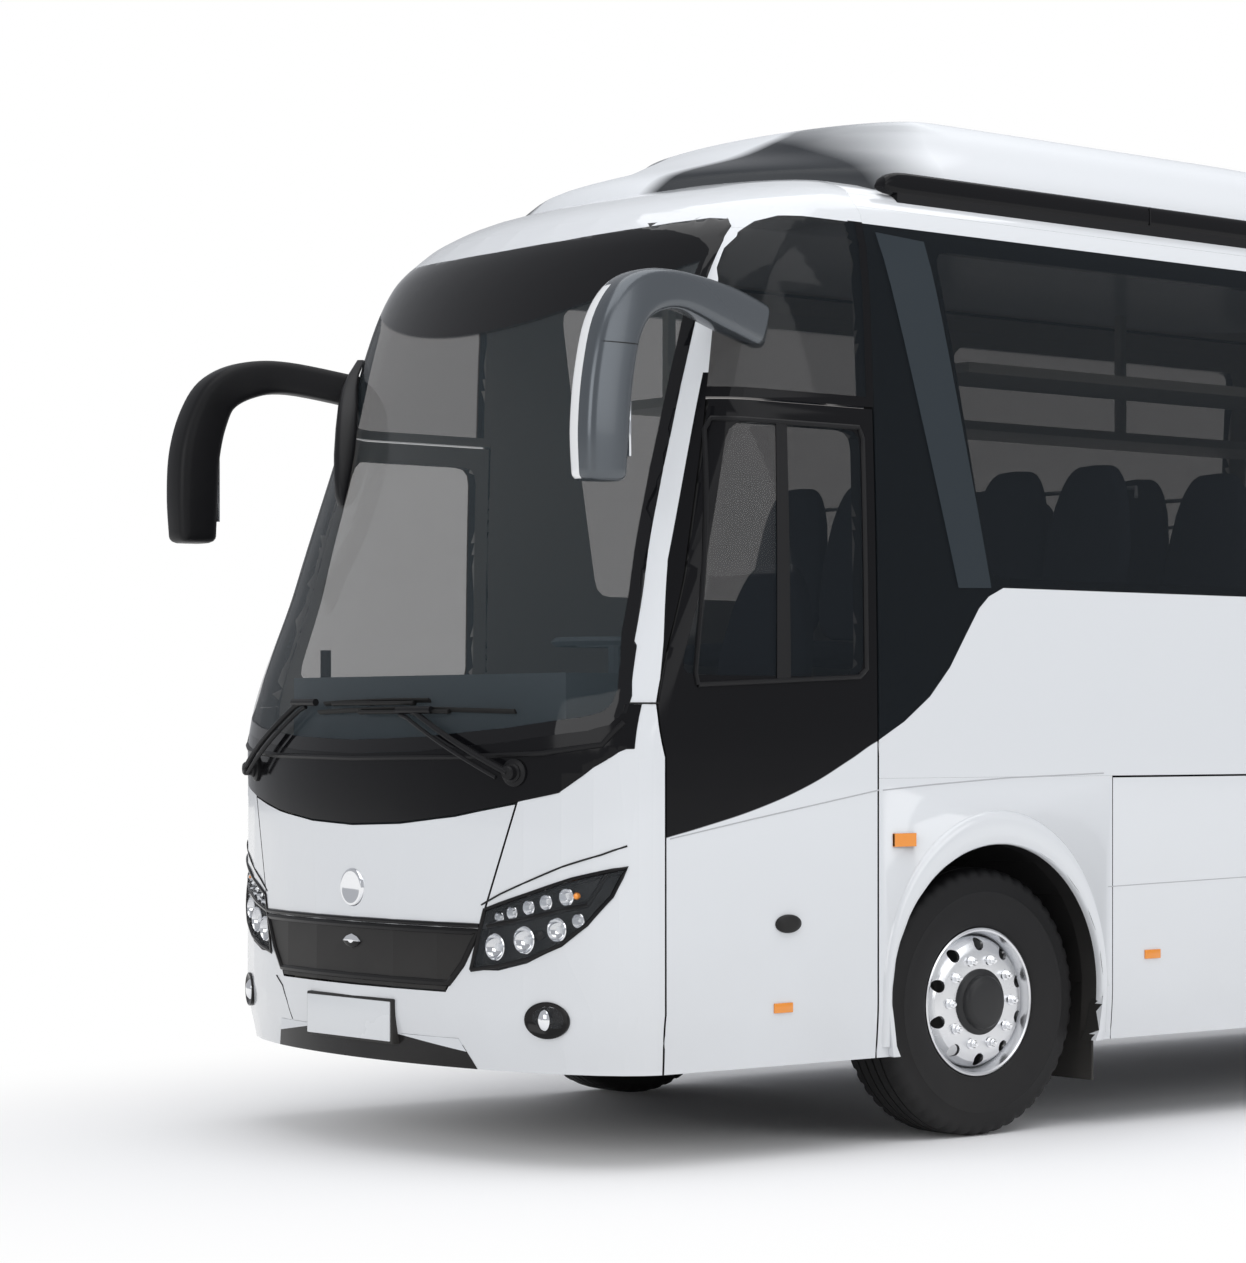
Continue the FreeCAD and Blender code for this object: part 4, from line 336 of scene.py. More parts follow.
def eased(z, heights, values):
    """A smooth curve through the table that never overshoots it."""
    steps = np.diff(heights)
    slopes = np.diff(values) / steps
    lean = np.zeros(len(values))
    same = slopes[:-1] * slopes[1:] > 0
    with np.errstate(divide="ignore", invalid="ignore"):
        lean[1:-1] = np.where(same, 2 * slopes[:-1] * slopes[1:] / (slopes[:-1] + slopes[1:]), 0)
    lean[0], lean[-1] = slopes[0], slopes[-1]
    row = np.clip(np.searchsorted(heights, z, side="right") - 1, 0, len(steps) - 1)
    t = np.clip((z - heights[row]) / steps[row], 0, 1)
    rise = values[row] * (2 * t**3 - 3 * t**2 + 1) + values[row + 1] * (3 * t**2 - 2 * t**3)
    return rise + steps[row] * (lean[row] * (t**3 - 2 * t**2 + t) + lean[row + 1] * (t**3 - t**2))


def shell_at(z, smooth=True):
    """Nose line, half width, nose depth and tail line of the skin at a height."""
    heights = SHELL[:, 0]
    z = np.clip(np.asarray(z, float), heights[0], heights[-1])
    curve = eased if smooth else np.interp
    set_back, half, depth, lean = (curve(z, heights, column) for column in SHELL.T[1:])
    return NOSE + set_back, half, depth, TAIL - lean


def settle(points):
    """Moves points from the straight-sided shell onto the smooth one."""
    x, y, z = np.array(points, float).T
    nose_a, half_a, depth_a, tail_a = shell_at(z, False)
    nose_b, half_b, depth_b, tail_b = shell_at(z)
    centre_a, centre_b = nose_a + depth_a, nose_b + depth_b
    ahead = np.minimum(y - centre_a, 0)
    shift = (centre_b - centre_a) * np.clip(1 - np.maximum(y - centre_a, 0) / FADE_RUN, 0, 1)
    shift += (tail_b - tail_a) * np.clip((y - tail_a + FADE_RUN) / TAIL_FADE, 0, 1)
    return np.stack([x * half_b / half_a, y + shift + ahead * (depth_b / depth_a - 1), z], axis=1)


def inset_of(points):
    """How deep points lie behind the smooth skin, measured level."""
    x, y, z = np.asarray(points, float).T
    nose, half, depth, tail = shell_at(z)
    along = y - nose - depth
    reach = np.hypot(x / half, along / depth)
    fall = np.hypot(x / half**2, along / depth**2) / np.maximum(reach, 1e-6)
    front = (1 - reach) / np.maximum(fall, 1e-6)
    side, back = half - abs(x), tail - y
    rounded = TAIL_CORNER - np.hypot(TAIL_CORNER - side, TAIL_CORNER - back) - CORNER_SLACK
    rear = np.where((side < TAIL_CORNER) & (back < TAIL_CORNER), rounded, np.minimum(side, back))
    return np.where(along < 0, front, rear)


def measured(items, label):
    """Three numbers for each vertex or face of a mesh, such as its place."""
    values = np.empty(len(items) * 3)
    items.foreach_get(label, values)
    return values.reshape(-1, 3)


# Level cuts through the panels: the first and last height and the step, closer where they curve.
CUTS = ((0.37, 0.57, 0.03), (1.42, 3.36, 0.05), (3.36, 3.66, 0.015))
CUT_HALF = 1.22


def skin_copy(name, across=None):
    """A merged copy of a panel, cut into level strips and laid on the smooth skin."""
    source = nodes[name]
    mesh = source.data.copy()
    mesh.transform(source.matrix_world)
    bm = bmesh.new()
    bm.from_mesh(mesh)
    bmesh.ops.remove_doubles(bm, verts=bm.verts, dist=1e-5)
    heights = [v.co.z for v in bm.verts]
    cuts = [cut for run in CUTS for cut in np.arange(*run)]
    planes = [((0, 0, cut), (0, 0, 1)) for cut in cuts if min(heights) < cut < max(heights)]
    if across:
        planes += [((cut, 0, 0), (1, 0, 0)) for cut in np.arange(-CUT_HALF, CUT_HALF + 0.01, across)]
    for spot, way in planes:
        whole = bm.verts[:] + bm.edges[:] + bm.faces[:]
        bmesh.ops.bisect_plane(bm, geom=whole, dist=1e-6, plane_co=spot, plane_no=way)
    bmesh.ops.triangulate(bm, faces=bm.faces)
    bm.to_mesh(mesh)
    bm.free()
    mesh.vertices.foreach_set("co", settle(measured(mesh.vertices, "co")).ravel())
    mesh.update()
    mesh.shade_smooth()
    mesh.set_sharp_from_angle(angle=math.radians(24))
    panel = bpy.data.objects.new("skin_" + name, mesh)
    scene.collection.objects.link(panel)
    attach(panel, body_of(source)[0])
    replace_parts(panel, name)
    return panel


def finish_all(mesh, *materials):
    """Gives a mesh these finishes and no others."""
    mesh.materials.clear()
    for material in materials:
        mesh.materials.append(material)


ROOF_FACES = 3.63


def dress(panel, outer, edge, inner, bed=0.004, depth=0.045):
    """Gives a panel its outer paint, its edge and glass-bed finish, and its inner lining."""
    mesh = panel.data
    finish_all(mesh, outer, edge, inner)
    centres, facing = measured(mesh.polygons, "center"), measured(mesh.polygons, "normal")
    deep = inset_of(centres)
    slots = np.where(deep < bed, 0, np.where(deep < depth, 1, 2)).astype(np.int32)
    slots[(centres[:, 2] > ROOF_FACES) & (facing[:, 2] > 0.5)] = 0
    mesh.polygons.foreach_set("material_index", slots)
    return panel


# White panels: nose, pillars, side walls, rear and skirts, with black sealant in the glass beds
# and rubber on the shut faces, and pale lining inside. The cab frame is black behind its screen
# pillar, up to the roof's edge, like the glass that it carries.
for name in "front_fascia side_walls rear_panel roof_shell".split():
    dress(skin_copy(name), white, gloss_black, lining)

# The black starts behind a line that leans back with height, and more so above its bend.
PILLAR_Y, PILLAR_BEND = 5.138, 2.181
PILLAR_LEAN, UPPER_LEAN = 0.201, 0.105
MASK_LOW, MASK_TOP = 1.68, 3.48
WINDOW_TOP = 2.87
POST_Y = -4.25


def behind_pillar(tree, spot):
    """1 behind the line along the screen pillar, 0 ahead of it."""
    line = sum_node(tree, "MULTIPLY_ADD", spot["Z"], -PILLAR_LEAN, PILLAR_Y + PILLAR_BEND * PILLAR_LEAN)
    bend = sum_node(tree, "MAXIMUM", sum_node(tree, "SUBTRACT", spot["Z"], PILLAR_BEND), 0.0)
    line = sum_node(tree, "MULTIPLY_ADD", bend, -UPPER_LEAN, line)
    return sum_node(tree, "GREATER_THAN", sum_node(tree, "ADD", spot["Y"], line), 0.0)


def black_where(material, dark):
    """Turns a body paint black, with next to no coat, where the mask is 1."""
    tree = material.node_tree
    toned = two_tone(tree, dark, (*WHITE, 1), (*BLACK, 1))
    tree.links.new(toned, tree.nodes["dust"].inputs["Paint"])
    shine = sum_node(tree, "MULTIPLY_ADD", dark, -0.58, BODY_PAINT["coat"])
    tree.links.new(shine, tree.nodes["Principled BSDF"].inputs["Coat Weight"])


frame_paint = finish("cab_frame_paint", WHITE, 0.12, **BODY_PAINT, Specular_IOR_Level=0.12)
tree = frame_paint.node_tree
spot = axes_of(tree)
low = sum_node(tree, "LESS_THAN", spot["Z"], WINDOW_TOP)
post = sum_node(tree, "GREATER_THAN", spot["Y"], POST_Y)
behind = sum_node(tree, "MAXIMUM", sum_node(tree, "MULTIPLY", behind_pillar(tree, spot), low), post)
above = sum_node(tree, "GREATER_THAN", spot["Z"], MASK_LOW)
below = sum_node(tree, "LESS_THAN", spot["Z"], MASK_TOP)
black_where(frame_paint, sum_node(tree, "MULTIPLY", sum_node(tree, "MULTIPLY", behind, above), below))
dress(skin_copy("cab_frame"), frame_paint, gloss_black, lining)
luggage_doors = [f"{side}_luggage_door_{door}" for side in ("left", "right") for door in (1, 2)]
for name in ["skirt_panels"] + luggage_doors:
    dress(skin_copy(name), white, rubber_seal, satin_black)
for name in "front_lid engine_hatch".split():
    dress(skin_copy(name), white, rubber_seal, satin_black, depth=0.012)

# Front doors: gloss black above a curve that sweeps up to the side glass, white below it. The
# curve is drawn in shares of the door's length and of the rise it takes.
SWEEP_START, SWEEP_RUN = -5.25, 1.1
SWEEP_LOW, SWEEP_RISE = 1.1, 0.5
SWEEP = ((-5.204, 1.19), (-5.05, 1.222), (-4.765, 1.29), (-4.52, 1.371), (-4.32, 1.462), (-4.168, 1.535))
DOOR_SILL = 1.75
sweep, _, sweep_out = group_with("door_sweep", [], [("Above", "NodeSocketFloat")])
spot = axes_of(sweep)
curve = sweep.nodes.new("ShaderNodeFloatCurve")
share = sum_node(sweep, "MULTIPLY_ADD", spot["Y"], 1 / SWEEP_RUN, -SWEEP_START / SWEEP_RUN)
sweep.links.new(share, curve.inputs["Value"])
line = curve.mapping.curves[0]
line.points[0].location = (0.0, 0.16)
line.points[1].location = (1.0, 0.88)
for y, z in SWEEP:
    line.points.new((y - SWEEP_START) / SWEEP_RUN, (z - SWEEP_LOW) / SWEEP_RISE)
curve.mapping.update()
edge_z = sum_node(sweep, "MULTIPLY_ADD", curve.outputs["Value"], SWEEP_RISE, SWEEP_LOW)
over = sum_node(sweep, "SUBTRACT", spot["Z"], edge_z)
low = sum_node(sweep, "LESS_THAN", spot["Z"], DOOR_SILL)
behind = sum_node(sweep, "MAXIMUM", behind_pillar(sweep, spot), low)
above = sum_node(sweep, "MULTIPLY", ramp(sweep, over, -0.002, 0.002), behind)
sweep.links.new(above, sweep_out.inputs["Above"])

door_paint = finish("door_paint", WHITE, 0.12, **BODY_PAINT, Specular_IOR_Level=0.12)
mask = door_paint.node_tree.nodes.new("ShaderNodeGroup")
mask.node_tree = sweep
black_where(door_paint, mask.outputs["Above"])
for name in ("driver_door", "entrance_door"):
    dress(skin_copy(name), door_paint, rubber_seal, lining)


# Glass. The side panes are deep grey, the windscreen is clearer, with a printed black border and
# a dark sun band along its top. Each point of it keeps its distance from the edge as a value,
# and the border is drawn from that.
PRINT_BLACK = (0.005, 0.005, 0.006)
SUN_BAND, SUN_BAND_CURVE = 3.085, 0.2


def clamped(tree, value):
    """The value held between 0 and 1."""
    node = tree.nodes.new("ShaderNodeClamp")
    tree.links.new(value, node.inputs["Value"])
    return node.outputs["Result"]


def glass(name, colour, clear, border=None, shine=0.2):
    """Tinted glass; clear is the share of light that passes straight through."""
    material = bpy.data.materials.new(name)
    material.use_nodes = True
    tree = material.node_tree
    shader = tree.nodes["Principled BSDF"]
    shader.inputs["Roughness"].default_value = 0.03
    shader.inputs["Specular IOR Level"].default_value = shine
    shader.inputs["Base Color"].default_value = (*colour, 1)
    shader.inputs["Alpha"].default_value = 1 - clear
    if border:
        reach = tree.nodes.new("ShaderNodeAttribute")
        reach.attribute_name = "rim_reach"
        rim = ramp(tree, reach.outputs["Fac"], border, border + 0.004, 1.0, 0.0)
        spot = axes_of(tree)
        square = sum_node(tree, "MULTIPLY", spot["X"], spot["X"])
        band_z = sum_node(tree, "MULTIPLY_ADD", square, SUN_BAND_CURVE, SUN_BAND)
        over = sum_node(tree, "SUBTRACT", spot["Z"], band_z)
        band = clamped(tree, sum_node(tree, "MULTIPLY_ADD", over, 60.0, 0.5))
        printed = sum_node(tree, "MAXIMUM", rim, band)
        tree.links.new(sum_node(tree, "MAXIMUM", printed, 1 - clear), shader.inputs["Alpha"])
        toned = two_tone(tree, printed, (*colour, 1), (*PRINT_BLACK, 1))
        tree.links.new(toned, shader.inputs["Base Color"])
    return material


def measure_rim(panel):
    """Stores each point's distance from the pane's outer edge."""
    mesh = panel.data
    bm = bmesh.new()
    bm.from_mesh(mesh)
    rim = []
    for edge in bm.edges:
        if len(edge.link_faces) == 2 and edge.calc_face_angle(0) > 0.9:
            first, last = (np.array(v.co) for v in edge.verts)
            for share in np.linspace(0, 1, max(2, int(edge.calc_length() / 0.01))):
                rim.append(first + (last - first) * share)
    spots = np.array([v.co[:] for v in bm.verts])
    bm.free()
    rim = np.array(rim)
    reach = np.array([np.sqrt(((rim - spot) ** 2).sum(axis=1).min()) for spot in spots])
    layer = mesh.attributes.new("rim_reach", "FLOAT", "POINT")
    layer.data.foreach_set("value", reach.astype(np.float32))


screen_glass = glass("windscreen_glass", (0.03, 0.042, 0.05), 0.66, border=0.05, shine=0.3)
side_glass = glass("side_glass", (0.008, 0.011, 0.014), 0.42)
door_glass = glass("door_glass", (0.008, 0.011, 0.014), 0.45)
entrance_glass = glass("entrance_glass", (0.010, 0.012, 0.014), 0.7)
# A warm film with a painted glow: it shines a little though nothing lights it.
glow_film = glass("warm_glow_film", (0.09, 0.058, 0.043), 0.68, shine=0.0)
glow_film_shader = glow_film.node_tree.nodes["Principled BSDF"]
glow_film_shader.inputs["Emission Color"].default_value = (1.0, 0.5, 0.3, 1)
glow_film_shader.inputs["Emission Strength"].default_value = 0.07


def bulge(panel):
    """Moves a nose panel's outer points from flat runs out onto the ellipse."""
    mesh = panel.data
    centres, facing = measured(mesh.polygons, "center"), measured(mesh.polygons, "normal")
    nose, half, depth = shell_at(centres[:, 2])[:3]
    along = centres[:, 1] - nose - depth
    way = np.stack([centres[:, 0] / half**2, along / depth**2], axis=1)
    way /= np.linalg.norm(way, axis=1)[:, None]
    outward = (way * facing[:, :2]).sum(axis=1) > 0.7
    outer = outward & (inset_of(centres) < 0.016) & (along < -0.03)
    picked = sorted({i for row in np.flatnonzero(outer) for i in mesh.polygons[row].vertices})
    spots = measured(mesh.vertices, "co")
    x, y, z = spots[picked].T
    nose, half, depth = shell_at(z)[:3]
    along = y - nose - depth
    reach = np.hypot(x / half, along / depth)
    grow = np.where((along < 0) & (reach > 0.97) & (reach < 1), 1 / reach, 1)
    spots[picked] = np.stack([x * grow, nose + depth + along * grow, z], axis=1)
    mesh.vertices.foreach_set("co", spots.ravel())
    mesh.update()
    return panel


windscreen = bulge(skin_copy("windscreen", across=0.04))
measure_rim(windscreen)
finish_all(windscreen.data, screen_glass)

# The panes on the bus's right carry a faint warm film inside, up to the last one; its warm tint and faint
# glow are painted light, though it is no lamp.
LAST_PANE = 4.9
panes = {"window_glass": side_glass, "driver_door_glass": door_glass, "entrance_door_glass": entrance_glass}
for name, material in panes.items():
    pane = skin_copy(name)
    dress(pane, material, material, glow_film, bed=0.002, depth=0.0035)
    for face in pane.data.polygons:
        if face.center.x > 0 or face.center.y > LAST_PANE:
            face.material_index = 0


# Front. A black panel under the screen, a lid above a framed grille that lift together, bumper
# with a lower lip, blank number plate, slanted headlamps and round fog lamps.
def loft(rings, capped=True, closed=False):
    """Points and faces of a skin stretched over rings of equal count."""
    count = len(rings[0])
    spots = [tuple(point) for ring in rings for point in ring]
    faces = []
    for row in range(len(rings) if closed else len(rings) - 1):
        low, high = row * count, ((row + 1) % len(rings)) * count
        for i in range(count):
            j = (i + 1) % count
            faces.append((low + i, low + j, high + j, high + i))
    if capped and not closed:
        faces.append(tuple(range(count))[::-1])
        faces.append(tuple(range((len(rings) - 1) * count, len(rings) * count)))
    return spots, faces


def lathe(profile, centre, axis, steps=48, closed=False):
    """A turned form: the profile lists how far along the axis and how far from it."""
    axis = Vector(axis).normalized()
    side = axis.orthogonal().normalized()
    up = axis.cross(side)
    rings = []
    for step in range(steps):
        turn = 2 * math.pi * step / steps
        spoke = side * math.cos(turn) + up * math.sin(turn)
        rings.append([Vector(centre) + axis * along + spoke * max(reach, 1e-5) for along, reach in profile])
    spots = [tuple(point) for ring in rings for point in ring]
    count = len(profile)
    faces = []
    for step in range(steps):
        low, high = step * count, ((step + 1) % steps) * count
        for i in range(count if closed else count - 1):
            j = (i + 1) % count
            faces.append((low + i, high + i, high + j, low + j))
    return spots, faces


def tube(points, radius, steps=10, flat=1.0):
    """A round rod along points, with closed ends."""
    points = [Vector(point) for point in points]
    rings = []
    side = None
    for index, point in enumerate(points):
        way = (points[min(index + 1, len(points) - 1)] - points[max(index - 1, 0)]).normalized()
        if side is None:
            side = way.orthogonal().normalized()
        side = (side - way * side.dot(way)).normalized()
        up = way.cross(side)
        ring = []
        for step in range(steps):
            turn = 2 * math.pi * step / steps
            ring.append(point + side * (math.cos(turn) * radius) + up * (math.sin(turn) * radius * flat))
        rings.append(ring)
    return loft(rings)


def slab_part(low, high):
    """A square-edged block between two corners."""
    (a, b, c), (d, e, f) = low, high
    ring = [(a, b), (d, b), (d, e), (a, e)]
    return loft([[(x, y, z) for x, y in ring] for z in (c, f)])


def piece(name, body, material, parts, sharp=35, bevel=0.0):
    """One visible object from several closed forms, smooth where it curves."""
    bm = bmesh.new()
    for spots, faces in parts:
        made = [bm.verts.new(spot) for spot in spots]
        for face in faces:
            bm.faces.new([made[i] for i in face])
    bmesh.ops.remove_doubles(bm, verts=bm.verts, dist=2e-5)
    bmesh.ops.dissolve_degenerate(bm, edges=bm.edges, dist=1e-6)
    bmesh.ops.recalc_face_normals(bm, faces=bm.faces)
    if bevel:
        edges = [edge for edge in bm.edges if edge.calc_face_angle(0) > 0.6]
        bmesh.ops.bevel(bm, geom=edges, offset=bevel, segments=2, profile=0.6, affect="EDGES")
    mesh = bpy.data.meshes.new(name)
    bm.to_mesh(mesh)
    bm.free()
    mesh.shade_smooth()
    mesh.set_sharp_from_angle(angle=math.radians(sharp))
    mesh.materials.append(material)
    made = bpy.data.objects.new(name, mesh)
    scene.collection.objects.link(made)
    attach(made, body)
    return made


def mirror_part(part):
    """The same form on the bus's other side."""
    spots, faces = part
    return [(-x, y, z) for x, y, z in spots], [face[::-1] for face in faces]


def nose_spot(x, z, out=0.0):
    """A point over the nose at a given X and height, and the direction it faces in plan."""
    nose, half, depth = (float(value) for value in shell_at(z)[:3])
    share = min(abs(x) / half, 0.999)
    along = -depth * math.sqrt(1 - share * share)
    way = Vector((x / half**2, along / depth**2, 0)).normalized()
    return Vector((x, nose + depth + along, z)) + way * out, way


def side_spot(y, z, out=0.0, side=1):
    """A point over a side at a given Y and height."""
    nose, half, depth = (float(value) for value in shell_at(z)[:3])
    along = min(y - nose - depth, 0.0)
    x = half * math.sqrt(max(1 - (along / depth) ** 2, 0))
    way = Vector((x / half**2, along / depth**2, 0)).normalized() if along < 0 else Vector((1, 0, 0))
    spot = Vector((x, y, z)) + way * out
    return Vector((spot.x * side, spot.y, spot.z))


def stepped(points, gap):
    """The same run of points with more between them, about a gap apart."""
    run = []
    for first, last in zip(points, points[1:]):
        count = max(2, int(math.dist(first, last) / gap))
        for step in range(count):
            share = step / count
            run.append([a + (b - a) * share for a, b in zip(first, last)])
    return run + [points[-1]]


def front_line(points, radius, out=0.0, closed=False, both=False):
    """A thin bead over the nose through (x, height) points."""
    run = stepped(points + points[:1] if closed else points, 0.03)
    made = tube([nose_spot(x, z, out)[0] for x, z in run], radius, 8)
    return [made, mirror_part(made)] if both else [made]


# The front trim is one moulding: black under the screen, and a lower lip whose upper rim is
# white down to a line that falls towards the corners.
LIP_Z, LIP_X, LIP_FALL = 0.455, 0.25, 0.13
TRIM_SPLIT = 0.9
trim_paint = finish("front_trim_paint", BLACK, 0.12, coat=0.03, amount=0.1, Specular_IOR_Level=0.14)
tree = trim_paint.node_tree
spot = axes_of(tree)
off_centre = sum_node(tree, "ABSOLUTE", spot["X"])
lip_z = sum_node(tree, "MULTIPLY_ADD", off_centre, -LIP_FALL, LIP_Z + LIP_FALL * LIP_X)
over_lip = sum_node(tree, "GREATER_THAN", spot["Z"], lip_z)
pale = sum_node(tree, "MULTIPLY", over_lip, sum_node(tree, "LESS_THAN", spot["Z"], TRIM_SPLIT))
tree.links.new(two_tone(tree, pale, (*BLACK, 1), (*WHITE, 1)), tree.nodes["dust"].inputs["Paint"])
dress(bulge(skin_copy("front_trim", across=0.05)), trim_paint, rubber_seal, satin_black)
dress(skin_copy("front_grille"), satin_black, rubber_seal, satin_black, depth=0.012)
half_frame = [(0.683, 0.846), (0.612, 0.728), (0.545, 0.655)]
frame_line = [(-0.683, 0.846)] + half_frame + [(-x, z) for x, z in half_frame[:0:-1]]
frame_parts = front_line(frame_line, 0.014, out=-0.0065, closed=True)
frame_parts += front_line([(-0.69, 0.868), (0.69, 0.868)], 0.009, out=-0.0015)
piece("grille_frame", "front_flap", gloss_black, frame_parts)
HANDLE_Z = 0.785
spot, way = nose_spot(0, HANDLE_Z)
upper = [(-0.058, 0.0), (-0.035, 0.017), (0.0, 0.027), (0.035, 0.017)]
eye = upper + [(-x, -z) for x, z in upper]
swell = ((1, -0.004), (1, 0.003), (0.8, 0.006), (0.3, 0.0075))
rings = [[spot + Vector((x * share, -out, z * share)) for x, z in eye] for share, out in swell]
handle = piece("grille_handle", "front_flap", chrome, [loft(rings)], sharp=20)
handle.data.materials.append(gloss_black)
for face in handle.data.polygons:
    face.material_index = int(face.center.z < HANDLE_Z)
spot, way = nose_spot(0, 0.985)
disc = [(0.0, 0.0), (0.0045, 0.0), (0.005, 0.048), (0.0075, 0.053)]
disc += [(0.0088, 0.060), (0.0075, 0.067), (0.002, 0.072), (-0.004, 0.073)]
piece("plain_badge", "front_flap", chrome, [lathe(disc, spot, way, 64)])

# Thin shut lines of the bumper: over the headlamps, at the plate's side and across the pillars.
eyelid = [(0.699, 0.944), (0.78, 0.985), (0.907, 1.039), (1.02, 1.088), (1.14, 1.131), (1.205, 1.163)]
seam_lines = front_line(eyelid, 0.0035, out=-0.001, both=True)
seam_lines += front_line([(-0.60, 0.62), (-0.54, 0.585), (-0.50, 0.53), (-0.47, 0.46)], 0.0025, out=-0.001)
for side in (1, -1):
    seam_lines.append(tube([side_spot(y, 1.668, 0.0, side) for y in np.linspace(-5.33, -5.235, 6)], 0.003))
piece("front_shut_lines", "coach_body", rubber_seal, seam_lines)
half_lip = [(0.6, 1.475), (0.95, 1.49), (1.14, 1.52), (1.19, 1.60)]
lip_line = [(-x, z) for x, z in half_lip[::-1]] + [(0, 1.468)] + half_lip
piece("screen_gasket", "coach_body", satin_black, front_line(lip_line, 0.011, out=-0.002))

plate_paint = finish("plate_face", (0.72, 0.74, 0.76), 0.25, coat=0.3, amount=0.1)
face = slab_part((-0.29, -5.7025, 0.425), (0.25, -5.694, 0.572))
piece("number_plate", "coach_body", plate_paint, [face], bevel=0.004)
backing = slab_part((-0.30, -5.697, 0.415), (0.262, -5.640, 0.582))
piece("plate_base", "coach_body", satin_black, [backing], bevel=0.006)

# Headlamps: a clear cover over a dark case with two rows of bright bowls, and an amber bulb.
LAMP_DEPTH = 0.034
lamp_glass = glass("lamp_cover", (0.2, 0.22, 0.24), 0.93)
finish_all(skin_copy("lamp_lenses", across=0.04).data, lamp_glass)
case = skin_copy("lamp_housings").data
finish_all(case, satin_black)
spots = measured(case.vertices, "co")
spots[inset_of(spots) < 0.03, 1] += LAMP_DEPTH
case.vertices.foreach_set("co", spots.ravel())
bowls = []
bulbs = []
lower_row = ((0.751, 0.793, 0.046), (0.873, 0.822, 0.047), (0.997, 0.862, 0.041), (1.071, 0.896, 0.025))
upper_row = ((0.771, 0.900, 0.021), (0.825, 0.918, 0.024), (0.892, 0.939, 0.026))
upper_row += ((0.958, 0.959, 0.027), (1.031, 0.980, 0.030))
bowl_section = ((0.004, 1.08), (0.006, 1), (-0.003, 0.93), (-0.016, 0.7), (-0.022, 0.4), (-0.024, 0.0))
bulb_section = ((-0.024, 0.3), (-0.012, 0.32), (-0.004, 0.2), (-0.002, 0.0))
for x, z, reach in lower_row + upper_row:
    spot, way = nose_spot(x, z, -0.014)
    axis = (way + Vector((0, -1, 0))).normalized()
    bowls.append(lathe([(along, reach * share) for along, share in bowl_section], spot, axis, 40))
    bulbs.append(lathe([(along, reach * share) for along, share in bulb_section], spot, axis, 24))
bowls += [mirror_part(part) for part in bowls]
bulbs += [mirror_part(part) for part in bulbs]
piece("lamp_bowls", "coach_body", chrome, bowls)
bright = finish("bright_bulb", (0.9, 0.92, 0.95), 0.05, coat=1.0, amount=0)
piece("lamp_bulbs", "coach_body", bright, bulbs)
amber_bulb = finish("amber_bulb", (0.95, 0.32, 0.03), 0.15, coat=0.6, amount=0)
spot, way = nose_spot(1.064, 0.984, -0.010)
amber = lathe([(-0.012, 0.012), (0.0, 0.013), (0.007, 0.009), (0.01, 0.0)], spot, way, 24)
piece("amber_bulbs", "coach_body", amber_bulb, [amber, mirror_part(amber)])
trim = front_line([(0.72, 0.868), (0.85, 0.893), (0.98, 0.925), (1.10, 0.955)], 0.012, out=-0.012, both=True)
trim += front_line([(1.10, 0.955), (1.135, 1.02), (1.16, 1.07)], 0.010, out=-0.012, both=True)
spot, way = nose_spot(0.931, 0.842, -0.012)
oval = lathe([(-0.02, 0.019), (0.004, 0.019), (0.008, 0.012), (0.009, 0.0)], spot, way, 32)
trim += [oval, mirror_part(oval)]
piece("lamp_bezels", "coach_body", gloss_black, trim)
lamp_edge = [(0.651, 0.708), (0.712, 0.926), (0.79, 0.953), (0.907, 0.992), (1.05, 1.043), (1.205, 1.086)]
lamp_edge += [(1.17, 0.985), (1.10, 0.885), (1.016, 0.81), (0.90, 0.757), (0.78, 0.727)]
lamp_beads = front_line(lamp_edge, 0.008, out=-0.002, closed=True, both=True)
piece("lamp_rims", "coach_body", gloss_black, lamp_beads)

# Fog lamps: a bright lens, taller than wide, in a black bezel that is wider than tall.
FOG_Z = 0.54
fog_parts = []
rim_parts = []
for side in (1, -1):
    spot, way = nose_spot(side * 0.955, FOG_Z, -0.004)
    axis = (way + Vector((0, -1.5, 0))).normalized()
    lens = [(-0.03, 0.030), (0.006, 0.030), (0.014, 0.024), (0.019, 0.012), (0.020, 0.0)]
    form, faces = lathe(lens, spot, axis, 40)
    fog_parts.append(([(x, y, spot.z + (z - spot.z) * 1.3) for x, y, z in form], faces))
    spot, way = nose_spot(side * 0.966, FOG_Z)
    bezel = [(-0.02, 0.066), (0.004, 0.066), (0.006, 0.062), (-0.004, 0.045), (-0.006, 0.0)]
    form, faces = lathe(bezel, spot, way, 56)
    along = Vector((-way.y, way.x, 0))
    wide = [Vector(point) + along * ((Vector(point) - spot).dot(along) * 0.36) for point in form]
    rim_parts.append((wide, faces))
piece("fog_lenses", "coach_body", chrome, fog_parts)
piece("fog_rims", "coach_body", gloss_black, rim_parts)

